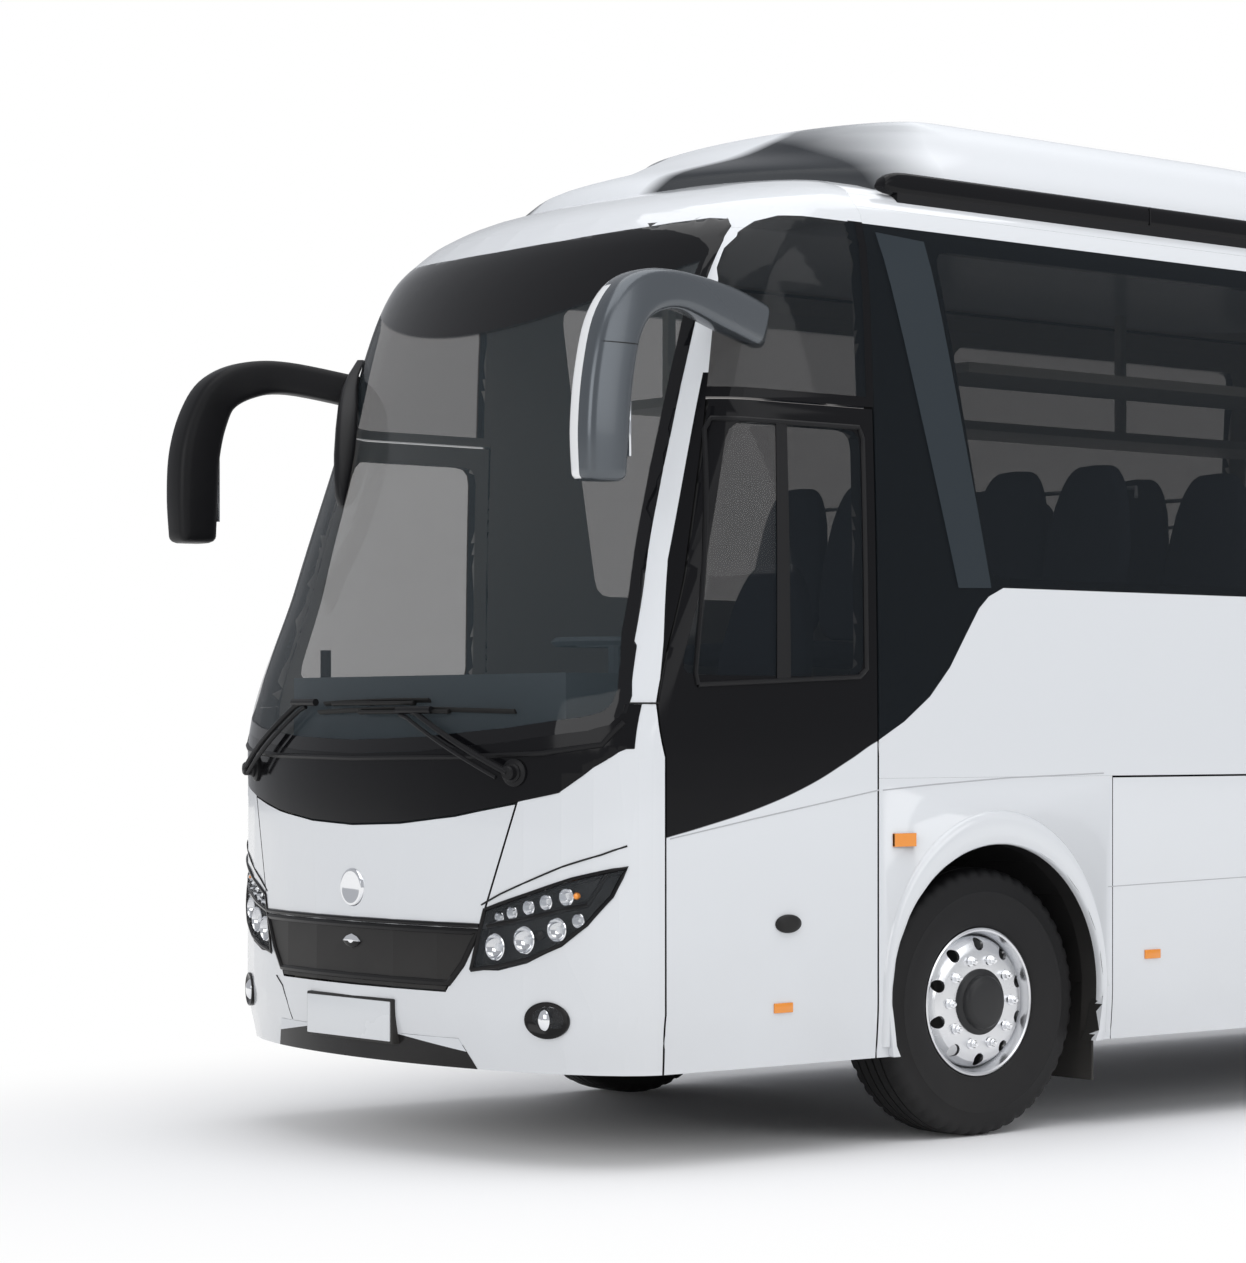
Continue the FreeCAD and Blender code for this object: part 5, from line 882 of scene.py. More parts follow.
# Wipers: two arms on pivots under the screen, each with a second parallel rod, and long blades.
PIVOT_Z = 1.42
pivot_cap = [(-0.01, 0.034), (0.02, 0.034), (0.026, 0.027), (0.05, 0.026), (0.056, 0.02), (0.058, 0)]
pivot_base = [(-0.01, 0.05), (0.008, 0.05), (0.014, 0.04), (0.014, 0.0)]
wiper_parts = []
blade_parts = []
for pivot, elbow, low_x, high_x, blade_z in (
    (0.84, 0.34, -0.25, 0.83, 1.640),
    (-0.84, -0.38, -0.22, 0.42, 1.672),
):
    spot, way = nose_spot(pivot, PIVOT_Z)
    wiper_parts += [lathe(pivot_cap, spot, way, 32), lathe(pivot_base, spot, way, 32)]
    for drop, radius in ((0.0, 0.011), (-0.055, 0.008)):
        run = []
        for share in np.linspace(0, 1, 13):
            x = pivot + (elbow - pivot) * share - math.copysign(drop * 0.8, pivot)
            z = PIVOT_Z + drop * 0.3 + (blade_z + 0.005 - PIVOT_Z) * min(share * 1.04, 1.0)
            run.append(nose_spot(x, z, 0.050 - 0.02 * share)[0])
        wiper_parts.append(tube(run, radius))
    knuckle = [nose_spot(x, blade_z + 0.006, 0.034)[0] for x in np.linspace(elbow - 0.06, elbow + 0.12, 8)]
    wiper_parts.append(tube(knuckle, 0.014))
    edge = [(x, blade_z + 0.01 * math.sin((x - low_x) * 3)) for x in np.linspace(low_x, high_x, 30)]
    blade_parts.append(tube([nose_spot(x, z, 0.014)[0] for x, z in edge], 0.006, 8, 2.0))
    middle = (low_x + high_x) / 2
    yoke = np.linspace(middle - 0.25, middle + 0.25, 16)
    blade_parts.append(tube([nose_spot(x, blade_z, 0.024)[0] for x in yoke], 0.008, 8))
    for x in (middle - 0.24, middle, middle + 0.24):
        claw = [nose_spot(x, blade_z, out)[0] for out in (0.028, 0.010)]
        blade_parts.append(tube(claw, 0.010))
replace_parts(piece("wiper_arms", "coach_body", satin_black, wiper_parts), "wipers")
piece("wiper_blades", "coach_body", rubber_seal, blade_parts)


# Mirrors: flat smooth arms that curve forward and down into the mirror heads. The left one is
# silver grey with a painted white highlight on its head's forward faces, the right one is black and stands
# on a foot on the screen.
def flowing(stations, count=48):
    """A curve of equal steps through stations (point and section), as in a bent spline."""
    table = np.array(stations, float)
    rows = []
    for share in np.linspace(0, len(table) - 1.0001, count):
        i = int(share)
        t = share - i
        a, b, c, d = (table[min(max(i + k, 0), len(table) - 1)] for k in (-1, 0, 1, 2))
        even = 2 * b + (c - a) * t
        bent = (2 * a - 5 * b + 4 * c - d) * t**2 + (3 * b - a - 3 * c + d) * t**3
        rows.append(0.5 * (even + bent))
    return rows


def blunt_turn(step, steps, blunt):
    """Across and up, from -1 to 1, at a step round an oblong with rounded corners."""
    turn = 2 * math.pi * step / steps
    c, s = math.cos(turn), math.sin(turn)
    return math.copysign(abs(c) ** blunt, c), math.copysign(abs(s) ** blunt, s)


ARM_BLUNT = 0.45
ARM_CORNERS = 28


def flat_arm(stations):
    """A bar of rounded oblong section whose end is rounded off."""
    rows = flowing(stations)
    rings = []
    for index, row in enumerate(rows):
        before, after = rows[max(index - 1, 0)], rows[min(index + 1, len(rows) - 1)]
        way = Vector(after[:3] - before[:3]).normalized()
        side = Vector((1, 0, 0))
        side = (side - way * side.dot(way)).normalized()
        up = way.cross(side)
        ring = []
        for step in range(ARM_CORNERS):
            across, tall = blunt_turn(step, ARM_CORNERS, ARM_BLUNT)
            ring.append(Vector(row[:3]) + side * (across * row[3] / 2) + up * (tall * row[4] / 2))
        rings.append(ring)
    way = Vector(rows[-1][:3] - rows[-2][:3]).normalized()
    last = rings[-1]
    middle = sum(last, Vector()) / ARM_CORNERS
    for grow, on in ((0.97, 0.010), (0.88, 0.020), (0.7, 0.027)):
        rings.append([middle + (point - middle) * grow + way * on for point in last])
    return loft(rings)


left_path = [
    (1.165, -4.70, 3.050, 0.085, 0.165),
    (1.235, -4.93, 3.090, 0.095, 0.165),
    (1.312, -5.22, 3.125, 0.105, 0.135),
    (1.338, -5.42, 3.090, 0.135, 0.17),
    (1.350, -5.525, 2.985, 0.145, 0.185),
    (1.355, -5.575, 2.81, 0.145, 0.19),
    (1.355, -5.595, 2.62, 0.145, 0.19),
    (1.352, -5.595, 2.46, 0.135, 0.175),
]
right_path = [
    (-1.06, -4.90, 2.955, 0.070, 0.13),
    (-1.225, -5.16, 3.015, 0.090, 0.13),
    (-1.29, -5.32, 3.005, 0.115, 0.15),
    (-1.33, -5.44, 2.945, 0.130, 0.165),
    (-1.348, -5.50, 2.84, 0.140, 0.18),
    (-1.352, -5.54, 2.69, 0.145, 0.19),
    (-1.352, -5.55, 2.52, 0.145, 0.19),
    (-1.350, -5.55, 2.36, 0.135, 0.175),
]
grey_shell = finish("grey_mirror_shell", (0.10, 0.112, 0.125), 0.26, metal=0.6, coat=0.2, amount=0)
mirror_highlight = finish("painted_mirror_highlight", (0.80, 0.81, 0.82), 0.15, coat=0.5, amount=0)
left_arm = piece("left_mirror", "coach_body", grey_shell, [flat_arm(left_path)], sharp=50)
left_arm.data.materials.append(mirror_highlight)
# Faces of the left head that turn forward and inwards get the painted white highlight.
for face in left_arm.data.polygons:
    turned = face.normal.x * -0.55 + face.normal.y * -0.84
    face.material_index = int(face.center.y < -5.33 and turned > 0.55 and face.center.x < 1.345)
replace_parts(left_arm, "mirrors")
piece("right_mirror", "coach_body", satin_black, [flat_arm(right_path)], sharp=50)
silvered = finish("mirror_silver", (0.75, 0.77, 0.8), 0.02, metal=1.0, amount=0)
faces = []
for path in (left_path, right_path):
    x, y, z = path[-2][:3]
    top = path[-3][2]
    ring = [(x - 0.055, z - 0.10), (x + 0.055, z - 0.10), (x + 0.055, top + 0.06), (x - 0.055, top + 0.06)]
    faces.append(loft([[(a, y + depth, b) for a, b in ring] for depth in (0.088, 0.098)]))
piece("mirror_glass", "coach_body", silvered, faces, bevel=0.003)

# The left head's two halves meet in a thin seam, and the right arm's foot is a curved blade that
# stands on the screen.
row = flowing(left_path)[30]
seam = []
for step in range(33):
    across, along = blunt_turn(step, 32, ARM_BLUNT)
    seam.append(Vector(row[:3]) + Vector((across * row[3] / 2, along * row[4] / 2, 0)))
piece("mirror_seam", "coach_body", rubber_seal, [tube(seam, 0.002, 6)])
FOOT_HALF, FOOT_BLUNT, FOOT_CORNERS = 0.03, 0.6, 20
foot_path = ((-1.10, 3.10, 0.03), (-1.02, 3.03, 0.045), (-0.94, 2.96, 0.062), (-0.84, 2.88, 0.078))
foot_path += ((-0.76, 2.78, 0.085), (-0.70, 2.67, 0.08), (-0.67, 2.57, 0.06), (-0.66, 2.50, 0.035))
foot_path += ((-0.66, 2.46, 0.008),)
foot = []
for x, z, out in foot_path:
    spot, way = nose_spot(x, z)
    along = Vector((-way.y, way.x, 0))
    ring = []
    for step in range(FOOT_CORNERS):
        across, tall = blunt_turn(step, FOOT_CORNERS, FOOT_BLUNT)
        ring.append(spot + along * (FOOT_HALF * across) + way * (0.004 + out / 2 + out / 2 * tall))
    foot.append(ring)
piece("mirror_foot", "coach_body", satin_black, [loft(foot)], sharp=50)

# Roof fairing: a long smooth white dome with a painted dark reflection on its sides towards the front. Each
# row of the table is a height, the front line, the half width, the depth of both rounded ends and the back
# line.
DOME = np.array(
    [
        (3.545, -4.708, 1.031, 0.526, 0.492),
        (3.707, -4.565, 0.976, 0.918, 0.388),
        (3.831, -4.191, 0.914, 0.845, 0.232),
        (3.924, -3.955, 0.859, 0.546, -0.028),
        (3.979, -3.784, 0.791, 0.299, -1.380),
        (4.0065, -3.031, 0.665, 0.299, -2.108),
    ]
)
dome_rings = []
for z in np.concatenate([np.linspace(3.56, 3.97, 24), np.linspace(3.975, 4.0065, 8)]):
    height = np.array([z])
    front, half, depth, back = (float(eased(height, DOME[:, 0], row)[0]) for row in DOME.T[1:])
    ring = []
    for middle, start in ((front + depth, math.pi), (back - depth, 0.0)):
        for step in range(49):
            turn = start + math.pi * step / 48
            ring.append((half * math.cos(turn), middle + depth * math.sin(turn), z))
    dome_rings.append(ring)

# The painted dark reflection on each flank fades out at four edges: its sloping top, its front and back, and
# its inner side.
REFLECTION_DARK = (0.010, 0.013, 0.017)
REFLECTION_TOP_Z, REFLECTION_TOP_Y, REFLECTION_SLOPE = 3.80, -4.55, 0.45
REFLECTION_FRONT, REFLECTION_BACK, REFLECTION_INNER = -4.72, -3.55, 0.33
dome_white_and_reflection = finish("dome_white_and_reflection", WHITE, 0.25, amount=0, Specular_IOR_Level=0.08)
tree = dome_white_and_reflection.node_tree
spot = axes_of(tree)
slope = sum_node(tree, "MULTIPLY_ADD", spot["Y"], REFLECTION_SLOPE, REFLECTION_TOP_Z - REFLECTION_SLOPE * REFLECTION_TOP_Y)
under = sum_node(tree, "MULTIPLY", sum_node(tree, "SUBTRACT", slope, spot["Z"]), 30.0)
behind = sum_node(tree, "MULTIPLY_ADD", spot["Y"], 6.0, -6.0 * REFLECTION_FRONT)
before = sum_node(tree, "MULTIPLY_ADD", spot["Y"], -2.5, 2.5 * REFLECTION_BACK)
off_centre = sum_node(tree, "ABSOLUTE", spot["X"])
flank = sum_node(tree, "MULTIPLY_ADD", off_centre, 12.0, -12.0 * REFLECTION_INNER)
dark = clamped(tree, under)
for value in (behind, before, flank):
    dark = sum_node(tree, "MULTIPLY", dark, clamped(tree, value))
# The dome's white turns to a painted dark reflection where the mask is 1.
toned = two_tone(tree, dark, (*WHITE, 1), (*REFLECTION_DARK, 1))
tree.links.new(toned, tree.nodes["dust"].inputs["Paint"])
dome = piece("smooth_dome", "coach_body", dome_white_and_reflection, [loft(dome_rings)], sharp=60)
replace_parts(dome, "roof_dome")

# Roof rails: black bars with rounded noses on a continuous foot, with one joint on each side.
RAIL_X, RAIL_Z = 1.070, 3.660
RAIL_HALF, RAIL_TALL = 0.030, 0.045
RAIL_BLUNT, RAIL_CORNERS = 0.6, 20
JOINT_Y = -2.52
rail_rows = ((-4.0, 0.036, 0.25), (-3.992, 0.022, 0.55), (-3.97, 0.010, 0.8), (-3.93, 0.002, 0.95))
rail_rows += ((-3.88, 0, 1), (0.4, 0, 1), (4.7, 0, 1), (4.79, 0.004, 0.95), (4.80, 0.02, 0.7))
rail_rings = []
for y, drop, thin in rail_rows:
    ring = []
    for step in range(RAIL_CORNERS):
        across, tall = blunt_turn(step, RAIL_CORNERS, RAIL_BLUNT)
        ring.append((RAIL_X + across * RAIL_HALF, y, RAIL_Z - drop * 0.4 + tall * RAIL_TALL * thin))
    rail_rings.append(ring)
bar = loft(rail_rings)
rails = piece("smooth_rails", "coach_body", gloss_black, [bar, mirror_part(bar)], sharp=50)
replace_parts(rails, "roof_rails")
rail_foot = slab_part((RAIL_X - 0.024, -3.93, 3.54), (RAIL_X + 0.024, 4.78, 3.63))
piece("rail_foot", "coach_body", satin_black, [rail_foot, mirror_part(rail_foot)])
joint = tube([(1.1005, JOINT_Y, 3.625), (1.1015, JOINT_Y, 3.66), (1.0995, JOINT_Y, 3.70)], 0.0025)
piece("rail_joints", "coach_body", satin_black, [joint, mirror_part(joint)])


# Sides. A slate strip crosses the black glass band, fold lines run along the walls as grey beads of painted
# shade, and amber markers and door handles sit on the white panels.
def side_plate(corners, out, thick, side=1, rows=14):
    """A thin plate on the side skin between four corners, given from the lower front one round."""
    (y0, z0), (y1, z1), (y2, z2), (y3, z3) = corners
    rings = []
    for share in np.linspace(0, 1, rows):
        ya, za = y0 + (y3 - y0) * share, z0 + (z3 - z0) * share
        yb, zb = y1 + (y2 - y1) * share, z1 + (z2 - z1) * share
        middle = ((ya + yb) / 2, (za + zb) / 2)
        outer = [side_spot(y, z, out + thick, side) for y, z in ((ya, za), middle, (yb, zb))]
        inner = [side_spot(y, z, out, side) for y, z in ((yb, zb), middle, (ya, za))]
        rings.append(outer + inner)
    return loft(rings)


def side_line(points, radius, side=1, out=0.0):
    """A thin bead along the side skin through (y, height) points."""
    return tube([side_spot(y, z, out, side) for y, z in stepped(points, 0.05)], radius, 8)


def side_marker(y, z, half_long, half_high, thick, side=1):
    """A small oblong plate centred at a place on a side."""
    front, back, low, high = y - half_long, y + half_long, z - half_high, z + half_high
    return side_plate(((front, low), (back, low), (back, high), (front, high)), 0.0, thick, side, 3)


MARKER = (0.045, 0.018, 0.006)
FRONT_MARKER = (0.055, 0.025, 0.013)
MARKER_Z = 0.675
strip = ((-3.751, 2.115), (-3.574, 2.119), (-3.868, 3.432), (-4.118, 3.447))
piece("slate_strip", "coach_body", slate, [side_plate(strip, 0.0005, 0.0012, side) for side in (1, -1)])
folds = [[(-4.153, 1.348), (-3.9, 1.366), (-3.5, 1.388), (-2.955, 1.402)], [(4.2, 1.402), (5.3, 1.402)]]
fold_parts = [side_line(line, 0.0028, side, -0.001) for line in folds for side in (1, -1)]
# The folds' grey is painted shade in the body's creases.
painted_fold_shade = finish("fold_shadow", (0.42, 0.43, 0.45), 0.4, amount=0)
piece("side_folds", "coach_body", painted_fold_shade, fold_parts)
door_line = side_line([(-5.19, 1.186), (-4.8, 1.25), (-4.175, 1.348)], 0.0028, 1, -0.001)
piece("door_fold", "driver_door", painted_fold_shade, [door_line])
marker_parts = []
for side in (1, -1):
    marker_parts.append(side_marker(-4.048, 1.16, *FRONT_MARKER, side))
    marker_parts.append(side_marker(3.4, MARKER_Z, *MARKER, side))
amber_lens = finish("amber_lens", (0.85, 0.28, 0.02), 0.12, coat=0.5)
piece("amber_markers", "coach_body", amber_lens, marker_parts, bevel=0.002)
door_marker = side_marker(-4.653, 0.559, *MARKER)
piece("door_marker", "driver_door", amber_lens, [door_marker], bevel=0.0015)

# Each luggage door has a marker low down, and a fold that rises towards the rear, a grey bead of painted
# shade.
FOLD_START, FOLD_Z, FOLD_RISE = -2.93, 0.952, 0.02
for side, name in ((1, "left"), (-1, "right")):
    for door, marker_y, ends in ((1, -2.673, (-2.93, -0.55)), (2, -0.26, (-0.52, 1.35))):
        body = f"{name}_luggage_door_{door}"
        marker = side_marker(marker_y, MARKER_Z, *MARKER, side)
        piece(f"{body}_marker", body, amber_lens, [marker], bevel=0.0015)
        line = [(y, FOLD_Z + FOLD_RISE * (y - FOLD_START)) for y in ends]
        piece(f"{body}_fold", body, painted_fold_shade, [side_line(line, 0.0022, side, -0.001)])

# Door handles are oval pulls, and the driver's window has a satin frame with one upright.
handles = []
for side in (1, -1):
    spot = side_spot(-4.629, 0.865, 0.0, side)
    rings = []
    for share, out in ((1.0, 0.0), (1.0, 0.006), (0.88, 0.014), (0.5, 0.018)):
        ring = []
        for step in range(32):
            turn = 2 * math.pi * step / 32
            along, tall = 0.062 * share * math.cos(turn), 0.034 * share * math.sin(turn)
            ring.append(spot + Vector((out * side, along, tall)))
        rings.append(ring)
    handles.append(loft(rings))
piece("driver_door_handle", "driver_door", satin_black, handles[:1], sharp=50)
piece("entrance_door_handle", "entrance_door", satin_black, handles[1:], sharp=50)
window_line = [(-5.06, 1.735), (-4.27, 1.77), (-4.235, 1.80), (-4.235, 2.66), (-4.255, 2.70)]
window_line += [(-4.935, 2.70), (-4.96, 2.66), (-5.07, 1.78), (-5.06, 1.735)]
upright = ((-4.683, 1.76), (-4.615, 1.76), (-4.615, 2.695), (-4.668, 2.695))
frame_bars = [side_line(window_line, 0.010), side_plate(upright, 0.0, 0.004)]
piece("door_window_frame", "driver_door", satin_black, frame_bars)

# Wheel arches: a black seal and a rolled lip follow each opening, and the lip swells into a soft
# flare over the top of the wheel.
FRONT_AXLE, REAR_AXLE, AXLE_Z = -3.543, 2.207, 0.52
ARCH_REACH, ARCH_Z = 0.578, 0.566
arch_path = [(0.0, -0.19 + 0.03 * step) for step in range(6)]
arch_path += [(math.radians(180 * step / 72), 0.0) for step in range(73)]
arch_path += [(math.pi, -0.03 * step) for step in range(1, 7)]
seal_section = ((-0.009, -0.016), (-0.006, -0.016), (-0.006, -0.10), (-0.009, -0.10))


def lip_section(turn):
    """How far each edge of the lip lies from the opening and from the skin, at a turn round it."""
    swell = 0.018 + 0.090 * math.sin(turn) ** 2
    inner = [(-0.010, -0.020), (-0.011, 0.006), (-0.004, 0.0125)]
    crown = [(swell * 0.3, 0.0145), (swell * 0.75, 0.0145), (swell, 0.013)]
    return inner + crown + [(swell + 0.012, 0.0), (swell + 0.012, -0.004)]


def arch_ring(axle_y, side, turn, drop, section):
    """A section of an arch's trim, set on the side skin."""
    ring = []
    for extra, out in section:
        reach = ARCH_REACH + extra
        y, z = axle_y + reach * math.cos(turn), ARCH_Z + reach * math.sin(turn) + drop
        ring.append(side_spot(y, z, out, side))
    return ring


arches = [(axle_y, side) for side in (1, -1) for axle_y in (FRONT_AXLE, REAR_AXLE)]
seals = [loft([arch_ring(*arch, *spot, seal_section) for spot in arch_path]) for arch in arches]
piece("arch_seals", "coach_body", satin_black, seals, sharp=50)
lips = [loft([arch_ring(*arch, *spot, lip_section(spot[0])) for spot in arch_path]) for arch in arches]
piece("arch_lips", "coach_body", white, lips, sharp=50)

# Wheels: polished alloy discs with ten hand holes and ten nuts round a dark hub. The front discs
# stand out, the rear twins are dished, so their hubs show deep inside the outer rim.
BARREL = [(-0.1125, 0.287), (-0.1125, 0.270), (-0.09, 0.264), (-0.05, 0.256), (0.05, 0.256), (0.085, 0.262)]
BARREL += [(0.104, 0.268), (0.1165, 0.273), (0.120, 0.280), (0.117, 0.2865), (0.110, 0.2875)]
HOLE_CIRCLE, HOLE_RADIUS = 0.2235, 0.0245
NUT_CIRCLE = 0.1675
DISC_WALL = 0.014


def wheel_forms(x, y, face, way, hub):
    """A rim with its pierced disc, and its nuts and hub, on an axle along X."""
    centre = (x, y, AXLE_Z)
    axis = (way, 0, 0)
    rim = lathe(BARREL, centre, axis, 96, closed=True)
    turn_in = face - 0.05 if face > 0 else face + 0.05
    slope = ((0, 0.2575), (0.35, 0.249), (0.8, 0.232))
    front = [(turn_in + (face - turn_in) * share, reach) for share, reach in slope]
    front += [(face - 0.003, 0.212), (face, 0.196), (face, 0.12)]
    back = [(along - DISC_WALL, reach) for along, reach in front[::-1]]
    disc = lathe(front + back, centre, axis, 120, closed=True)
    hole = [(face - 0.12, 0.0), (face - 0.12, HOLE_RADIUS), (face + 0.10, HOLE_RADIUS), (face + 0.10, 0.0)]
    washer = [(face, 0.0), (face, 0.022), (face + 0.006, 0.020), (face + 0.006, 0.0)]
    nut = [(0.005, 0.0), (0.005, 0.0165), (0.024, 0.0165), (0.027, 0.0135), (0.027, 0.009)]
    nut = [(face + out, reach) for out, reach in nut + [(0.036, 0.0085), (0.037, 0.0)]]
    cutters = []
    nuts = []
    for step in range(10):
        turn = math.radians(36 * step + 18)
        spot = (x, y + HOLE_CIRCLE * math.cos(turn), AXLE_Z + HOLE_CIRCLE * math.sin(turn))
        cutters.append(lathe(hole, spot, axis, 28))
        turn = math.radians(36 * step)
        spot = (x, y + NUT_CIRCLE * math.cos(turn), AXLE_Z + NUT_CIRCLE * math.sin(turn))
        nuts += [lathe(washer, spot, axis, 24), lathe(nut, spot, axis, 6)]
    return rim, disc, cutters, nuts, lathe(hub, centre, axis, 64)


def pierced(name, body, material, rim, disc, cutters):
    """The disc with its hand holes cut, joined to its rim."""
    made = piece(name + "_disc", body, material, [disc], sharp=30)
    tool = piece(name + "_tool", body, material, cutters, sharp=30)
    cut = made.modifiers.new("holes", "BOOLEAN")
    cut.object = tool
    cut.solver = "EXACT"
    view = bpy.context.evaluated_depsgraph_get()
    mesh = bpy.data.meshes.new_from_object(made.evaluated_get(view))
    for old in (made, tool):
        bpy.data.objects.remove(old)
    bm = bmesh.new()
    bm.from_mesh(mesh)
    spots, faces = rim
    ring = [bm.verts.new(spot) for spot in spots]
    for face in faces:
        bm.faces.new([ring[i] for i in face])
    bmesh.ops.recalc_face_normals(bm, faces=bm.faces)
    bm.to_mesh(mesh)
    bm.free()
    mesh.shade_smooth()
    mesh.set_sharp_from_angle(angle=math.radians(32))
    finish_all(mesh, material)
    wheel = bpy.data.objects.new(name, mesh)
    scene.collection.objects.link(wheel)
    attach(wheel, body)
    return wheel


alloy = finish("polished_alloy", (0.80, 0.81, 0.83), 0.2, metal=1.0, amount=0.3, height=1.0)
hub_paint = finish("hub_paint", (0.014, 0.015, 0.017), 0.35, amount=0.1, Specular_IOR_Level=0.3)
front_hub = [(0.09, 0.128), (0.124, 0.128), (0.130, 0.122), (0.134, 0.106), (0.150, 0.102)]
front_hub += [(0.158, 0.094), (0.162, 0.080), (0.163, 0.040), (0.164, 0.0)]
rear_hub = [(-0.18, 0.128), (-0.09, 0.128), (-0.082, 0.122), (-0.075, 0.118), (-0.062, 0.118)]
rear_hub += [(-0.058, 0.110), (-0.03, 0.085), (-0.012, 0.080), (-0.006, 0.070), (-0.005, 0.0)]
FRONT_X, OUTER_X, INNER_X = 1.03, 1.07, 0.73
for side, name in ((1, "left"), (-1, "right")):
    for label, body, x, y, face, section in (
        (f"front_{name}", f"front_{name}_wheel", FRONT_X, FRONT_AXLE, 0.119, front_hub),
        (f"rear_{name}_outer", f"rear_{name}_wheels", OUTER_X, REAR_AXLE, -0.150, rear_hub),
        (f"rear_{name}_inner", f"rear_{name}_wheels", INNER_X, REAR_AXLE, 0.150, rear_hub),
    ):
        rim, disc, cutters, nuts, hub = wheel_forms(side * x, y, face, side, section)
        wheel = pierced(label + "_alloy", body, alloy, rim, disc, cutters)
        if x != INNER_X:
            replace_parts(wheel, body)
            axle = label.replace("_outer", "")
            piece(axle + "_nuts", body, chrome, nuts, sharp=30)
            piece(axle + "_hub", body, hub_paint, [hub], sharp=40)

# Tyres: rounded walls with thin raised rings, three grooves round the tread and a cut shoulder.
half_section = [
    (0.100, 0.2890), (0.1125, 0.2895), (0.1205, 0.296), (0.1245, 0.306), (0.1310, 0.325), (0.1385, 0.350),
    (0.1425, 0.375), (0.1445, 0.400), (0.1435, 0.425), (0.1445, 0.4275), (0.1425, 0.431), (0.1375, 0.455),
    (0.1325, 0.472), (0.1320, 0.478), (0.1290, 0.492), (0.1225, 0.505), (0.1120, 0.5135), (0.1000, 0.5175),
    (0.0850, 0.5190), (0.0700, 0.5195), (0.0690, 0.508), (0.0620, 0.508), (0.0610, 0.5198), (0.0260, 0.5200),
    (0.0250, 0.508), (0.0170, 0.508), (0.0160, 0.5200),
]
section = half_section + [(-along, reach) for along, reach in half_section[::-1]]
SHOULDER_REACH, SHOULDER_ALONG, SHOULDER_CUT = 0.49, 0.095, 0.007
rubber = finish("tyre_rubber", (0.008, 0.008, 0.009), 0.6, amount=0.06, height=1.0, Specular_IOR_Level=0.25)
for side, name in ((1, "left"), (-1, "right")):
    for body, node, y, spots_x in (
        (f"front_{name}_wheel", f"front_{name}_tyre", FRONT_AXLE, (FRONT_X,)),
        (f"rear_{name}_wheels", f"rear_{name}_tyres", REAR_AXLE, (OUTER_X, INNER_X)),
    ):
        parts = []
        for x in spots_x:
            spots, faces = lathe(section, (side * x, y, AXLE_Z), (side, 0, 0), 240, closed=True)
            for index, (a, b, c) in enumerate(spots):
                step, row = divmod(index, len(section))
                along, reach = section[row]
                shoulder = reach > SHOULDER_REACH and abs(along) > SHOULDER_ALONG
                share = 1 - (SHOULDER_CUT if step % 5 < 2 and shoulder else 0) / reach
                spots[index] = (a, y + (b - y) * share, AXLE_Z + (c - AXLE_Z) * share)
            parts.append((spots, faces))
        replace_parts(piece(node + "_tread", body, rubber, parts, sharp=30), node)


# Cabin. Passenger seats in pairs and the driver's seat, with a grab rail behind each pair; each
# pad is crowned in the middle and its sides pull in between its corners.
def pad_form(crown, rows=18, steps=28):
    """A crowned pad of half size 1: full in the middle, pulled in along its sides."""
    spots = []
    for row in range(1, rows):
        polar = math.pi * row / rows
        ring = abs(math.sin(polar)) ** 0.35
        z = math.copysign(abs(math.cos(polar)) ** 0.55, math.cos(polar))
        for step in range(steps):
            turn = 2 * math.pi * step / steps
            c, s = math.cos(turn), math.sin(turn)
            x = math.copysign(abs(c) ** 0.42, c) * ring
            y = math.copysign(abs(s) ** 0.42, s) * ring
            pull = 1 - 0.035 * (1 - max(abs(c), abs(s)) ** 4) * (1 - abs(z))
            grow = 1 + crown * (1 - x * x) * (1 - y * y)
            spots.append([x * pull, y * pull, z * grow / (1 + crown)])
    spots += [[0, 0, 1.0], [0, 0, -1.0]]
    faces = []
    for row in range(rows - 2):
        for step in range(steps):
            j = (step + 1) % steps
            low, high = row * steps, (row + 1) * steps
            faces.append((low + step, high + step, high + j, low + j))
    last = (rows - 2) * steps
    for step in range(steps):
        j = (step + 1) % steps
        faces.append((step, j, len(spots) - 2))
        faces.append((last + j, last + step, len(spots) - 1))
    return spots, faces


def laid_flat(part, centre, half):
    """A pad form set to size as a cushion at its place."""
    spots, faces = part
    made = [[middle + share * reach for middle, share, reach in zip(centre, spot, half)] for spot in spots]
    return made, faces


def set_upright(part, centre, half, narrow, lean=0.105):
    """A pad form set to size as a back that leans, narrower towards its top."""
    spots, faces = part
    made = []
    for a, b, c in spots:
        share = (b + 1) / 2
        x = a * half[0] * (1 - narrow * max(0, share - 0.62) ** 0.8 * 2.0)
        y = c * half[1] + lean * (share - 0.5)
        made.append((centre[0] + x, centre[1] + y, centre[2] + b * half[2]))
    return made, faces


cloth = finish("seat_cloth", (0.055, 0.068, 0.095), 0.85, amount=0)
tree = cloth.node_tree
place = tree.nodes.new("ShaderNodeTexCoord")
weave = tree.nodes.new("ShaderNodeTexVoronoi")
weave.inputs["Scale"].default_value = 260
tree.links.new(place.outputs["Object"], weave.inputs["Vector"])
bump = tree.nodes.new("ShaderNodeBump")
bump.inputs["Strength"].default_value = 0.3
bump.inputs["Distance"].default_value = 0.002
tree.links.new(weave.outputs["Distance"], bump.inputs["Height"])
tree.links.new(bump.outputs["Normal"], tree.nodes["Principled BSDF"].inputs["Normal"])

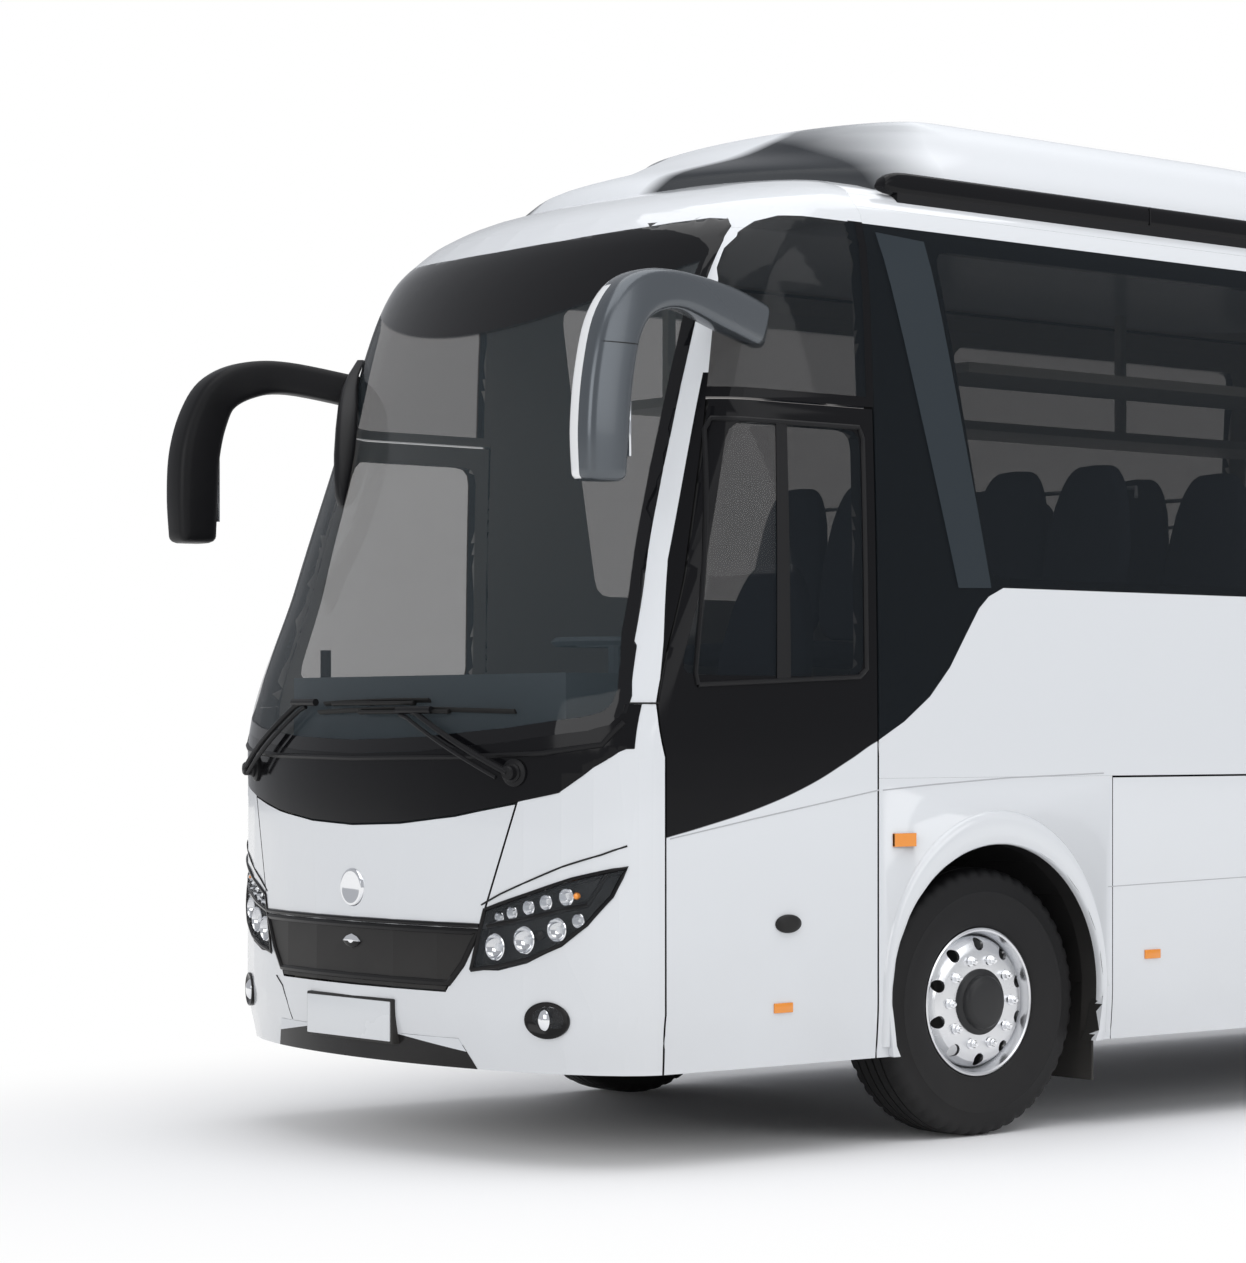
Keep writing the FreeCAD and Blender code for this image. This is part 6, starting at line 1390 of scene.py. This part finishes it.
PAIR_X, SEAT_X = 0.677, 0.2285
ROWS = [-3.223 + 0.74 * row for row in range(11)]
DRIVER_X, DRIVER_Y = 0.64, -4.52
SEAT_MIDDLE, BACK_MIDDLE = 0.215, 0.110
pad = pad_form(0.16)
cushion_parts = []
back_parts = []
for y in ROWS:
    for x in (PAIR_X - SEAT_X, PAIR_X + SEAT_X, -PAIR_X - SEAT_X, -PAIR_X + SEAT_X):
        cushion_parts.append(laid_flat(pad, (x, y + SEAT_MIDDLE, 1.9045), (0.222, 0.213, 0.0535)))
        place = (x, y + SEAT_MIDDLE * 2 + BACK_MIDDLE, 2.31)
        back_parts.append(set_upright(pad, place, (0.222, 0.050, 0.347), 0.35))
cushion_parts.append(laid_flat(pad, (DRIVER_X, DRIVER_Y, 1.4645), (0.255, 0.213, 0.053)))
place = (DRIVER_X, DRIVER_Y + SEAT_MIDDLE + BACK_MIDDLE, 1.87)
back_parts.append(set_upright(pad, place, (0.255, 0.050, 0.347), 0.45))
cushions = piece("seat_pads", "coach_body", cloth, cushion_parts, sharp=80)
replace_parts(cushions, "seat_cushions")
backs = piece("back_pads", "coach_body", cloth, back_parts, sharp=80)
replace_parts(backs, "seat_backs")
half_rail = ((0.40, 0.645, 2.52), (0.38, 0.668, 2.56))
rails = []
for y in ROWS:
    for x in (PAIR_X, -PAIR_X):
        left = [(x - across, y + back, z) for across, back, z in half_rail]
        right = [(x + across, y + back, z) for across, back, z in half_rail[::-1]]
        rails.append(tube(left + right, 0.009, 8))
piece("grab_rails", "coach_body", plate_paint, rails)

# Rear: lamps in two columns, louvres on the engine hatch and a blank number plate under it.
red_lens = finish("red_lens", (0.5, 0.015, 0.012), 0.1, coat=0.5)
dress(skin_copy("tail_lamps"), red_lens, satin_black, satin_black, bed=0.03, depth=0.2)
LOUVRE_HALF, LOUVRE_Z, LOUVRE_PITCH = 0.62, 0.74, 0.042
slats = []
for row in range(13):
    z = LOUVRE_Z + LOUVRE_PITCH * row
    tail = float(shell_at(z)[3])
    blade = [(tail + 0.0005, z - 0.015), (min(tail + 0.0035, TAIL), z - 0.012)]
    blade += [(min(tail + 0.0010, TAIL), z + 0.015), (tail - 0.004, z + 0.015)]
    slats.append(loft([[(x, y, height) for y, height in blade] for x in (-LOUVRE_HALF, LOUVRE_HALF)]))
piece("hatch_louvres", "engine_hatch", satin_black, slats, sharp=20)
plate_low = (-0.27, float(shell_at(0.475)[3]) - 0.004, 0.42)
piece("rear_plate", "coach_body", plate_paint, [slab_part(plate_low, (0.27, TAIL - 0.002, 0.53))])

# Plain finishes of the pieces that keep the solids' own shape.
plastic = finish("cab_plastic", (0.15, 0.18, 0.20), 0.5, amount=0)
pale_plastic = finish("pale_plastic", (0.55, 0.52, 0.47), 0.5, amount=0)
vinyl = finish("floor_vinyl", (0.12, 0.125, 0.13), 0.6, amount=0.2)
engine_paint = finish("engine_paint", (0.16, 0.17, 0.18), 0.5, amount=0.5)
PLAIN = {
    satin_black: "wheel_liners mud_flaps air_springs seat_stands entrance_arm",
    amber_lens: "side_markers",
    iron: "front_axle rear_axle left_knuckle right_knuckle tie_rod chassis_frame",
    plastic: "dashboard steering_wheel",
    pale_plastic: "luggage_racks",
    vinyl: "cabin_floor",
    engine_paint: "engine",
}
for material, names in PLAIN.items():
    for name in names.split():
        for entry in nodes[name].material_slots:
            entry.material = material

low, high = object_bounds()
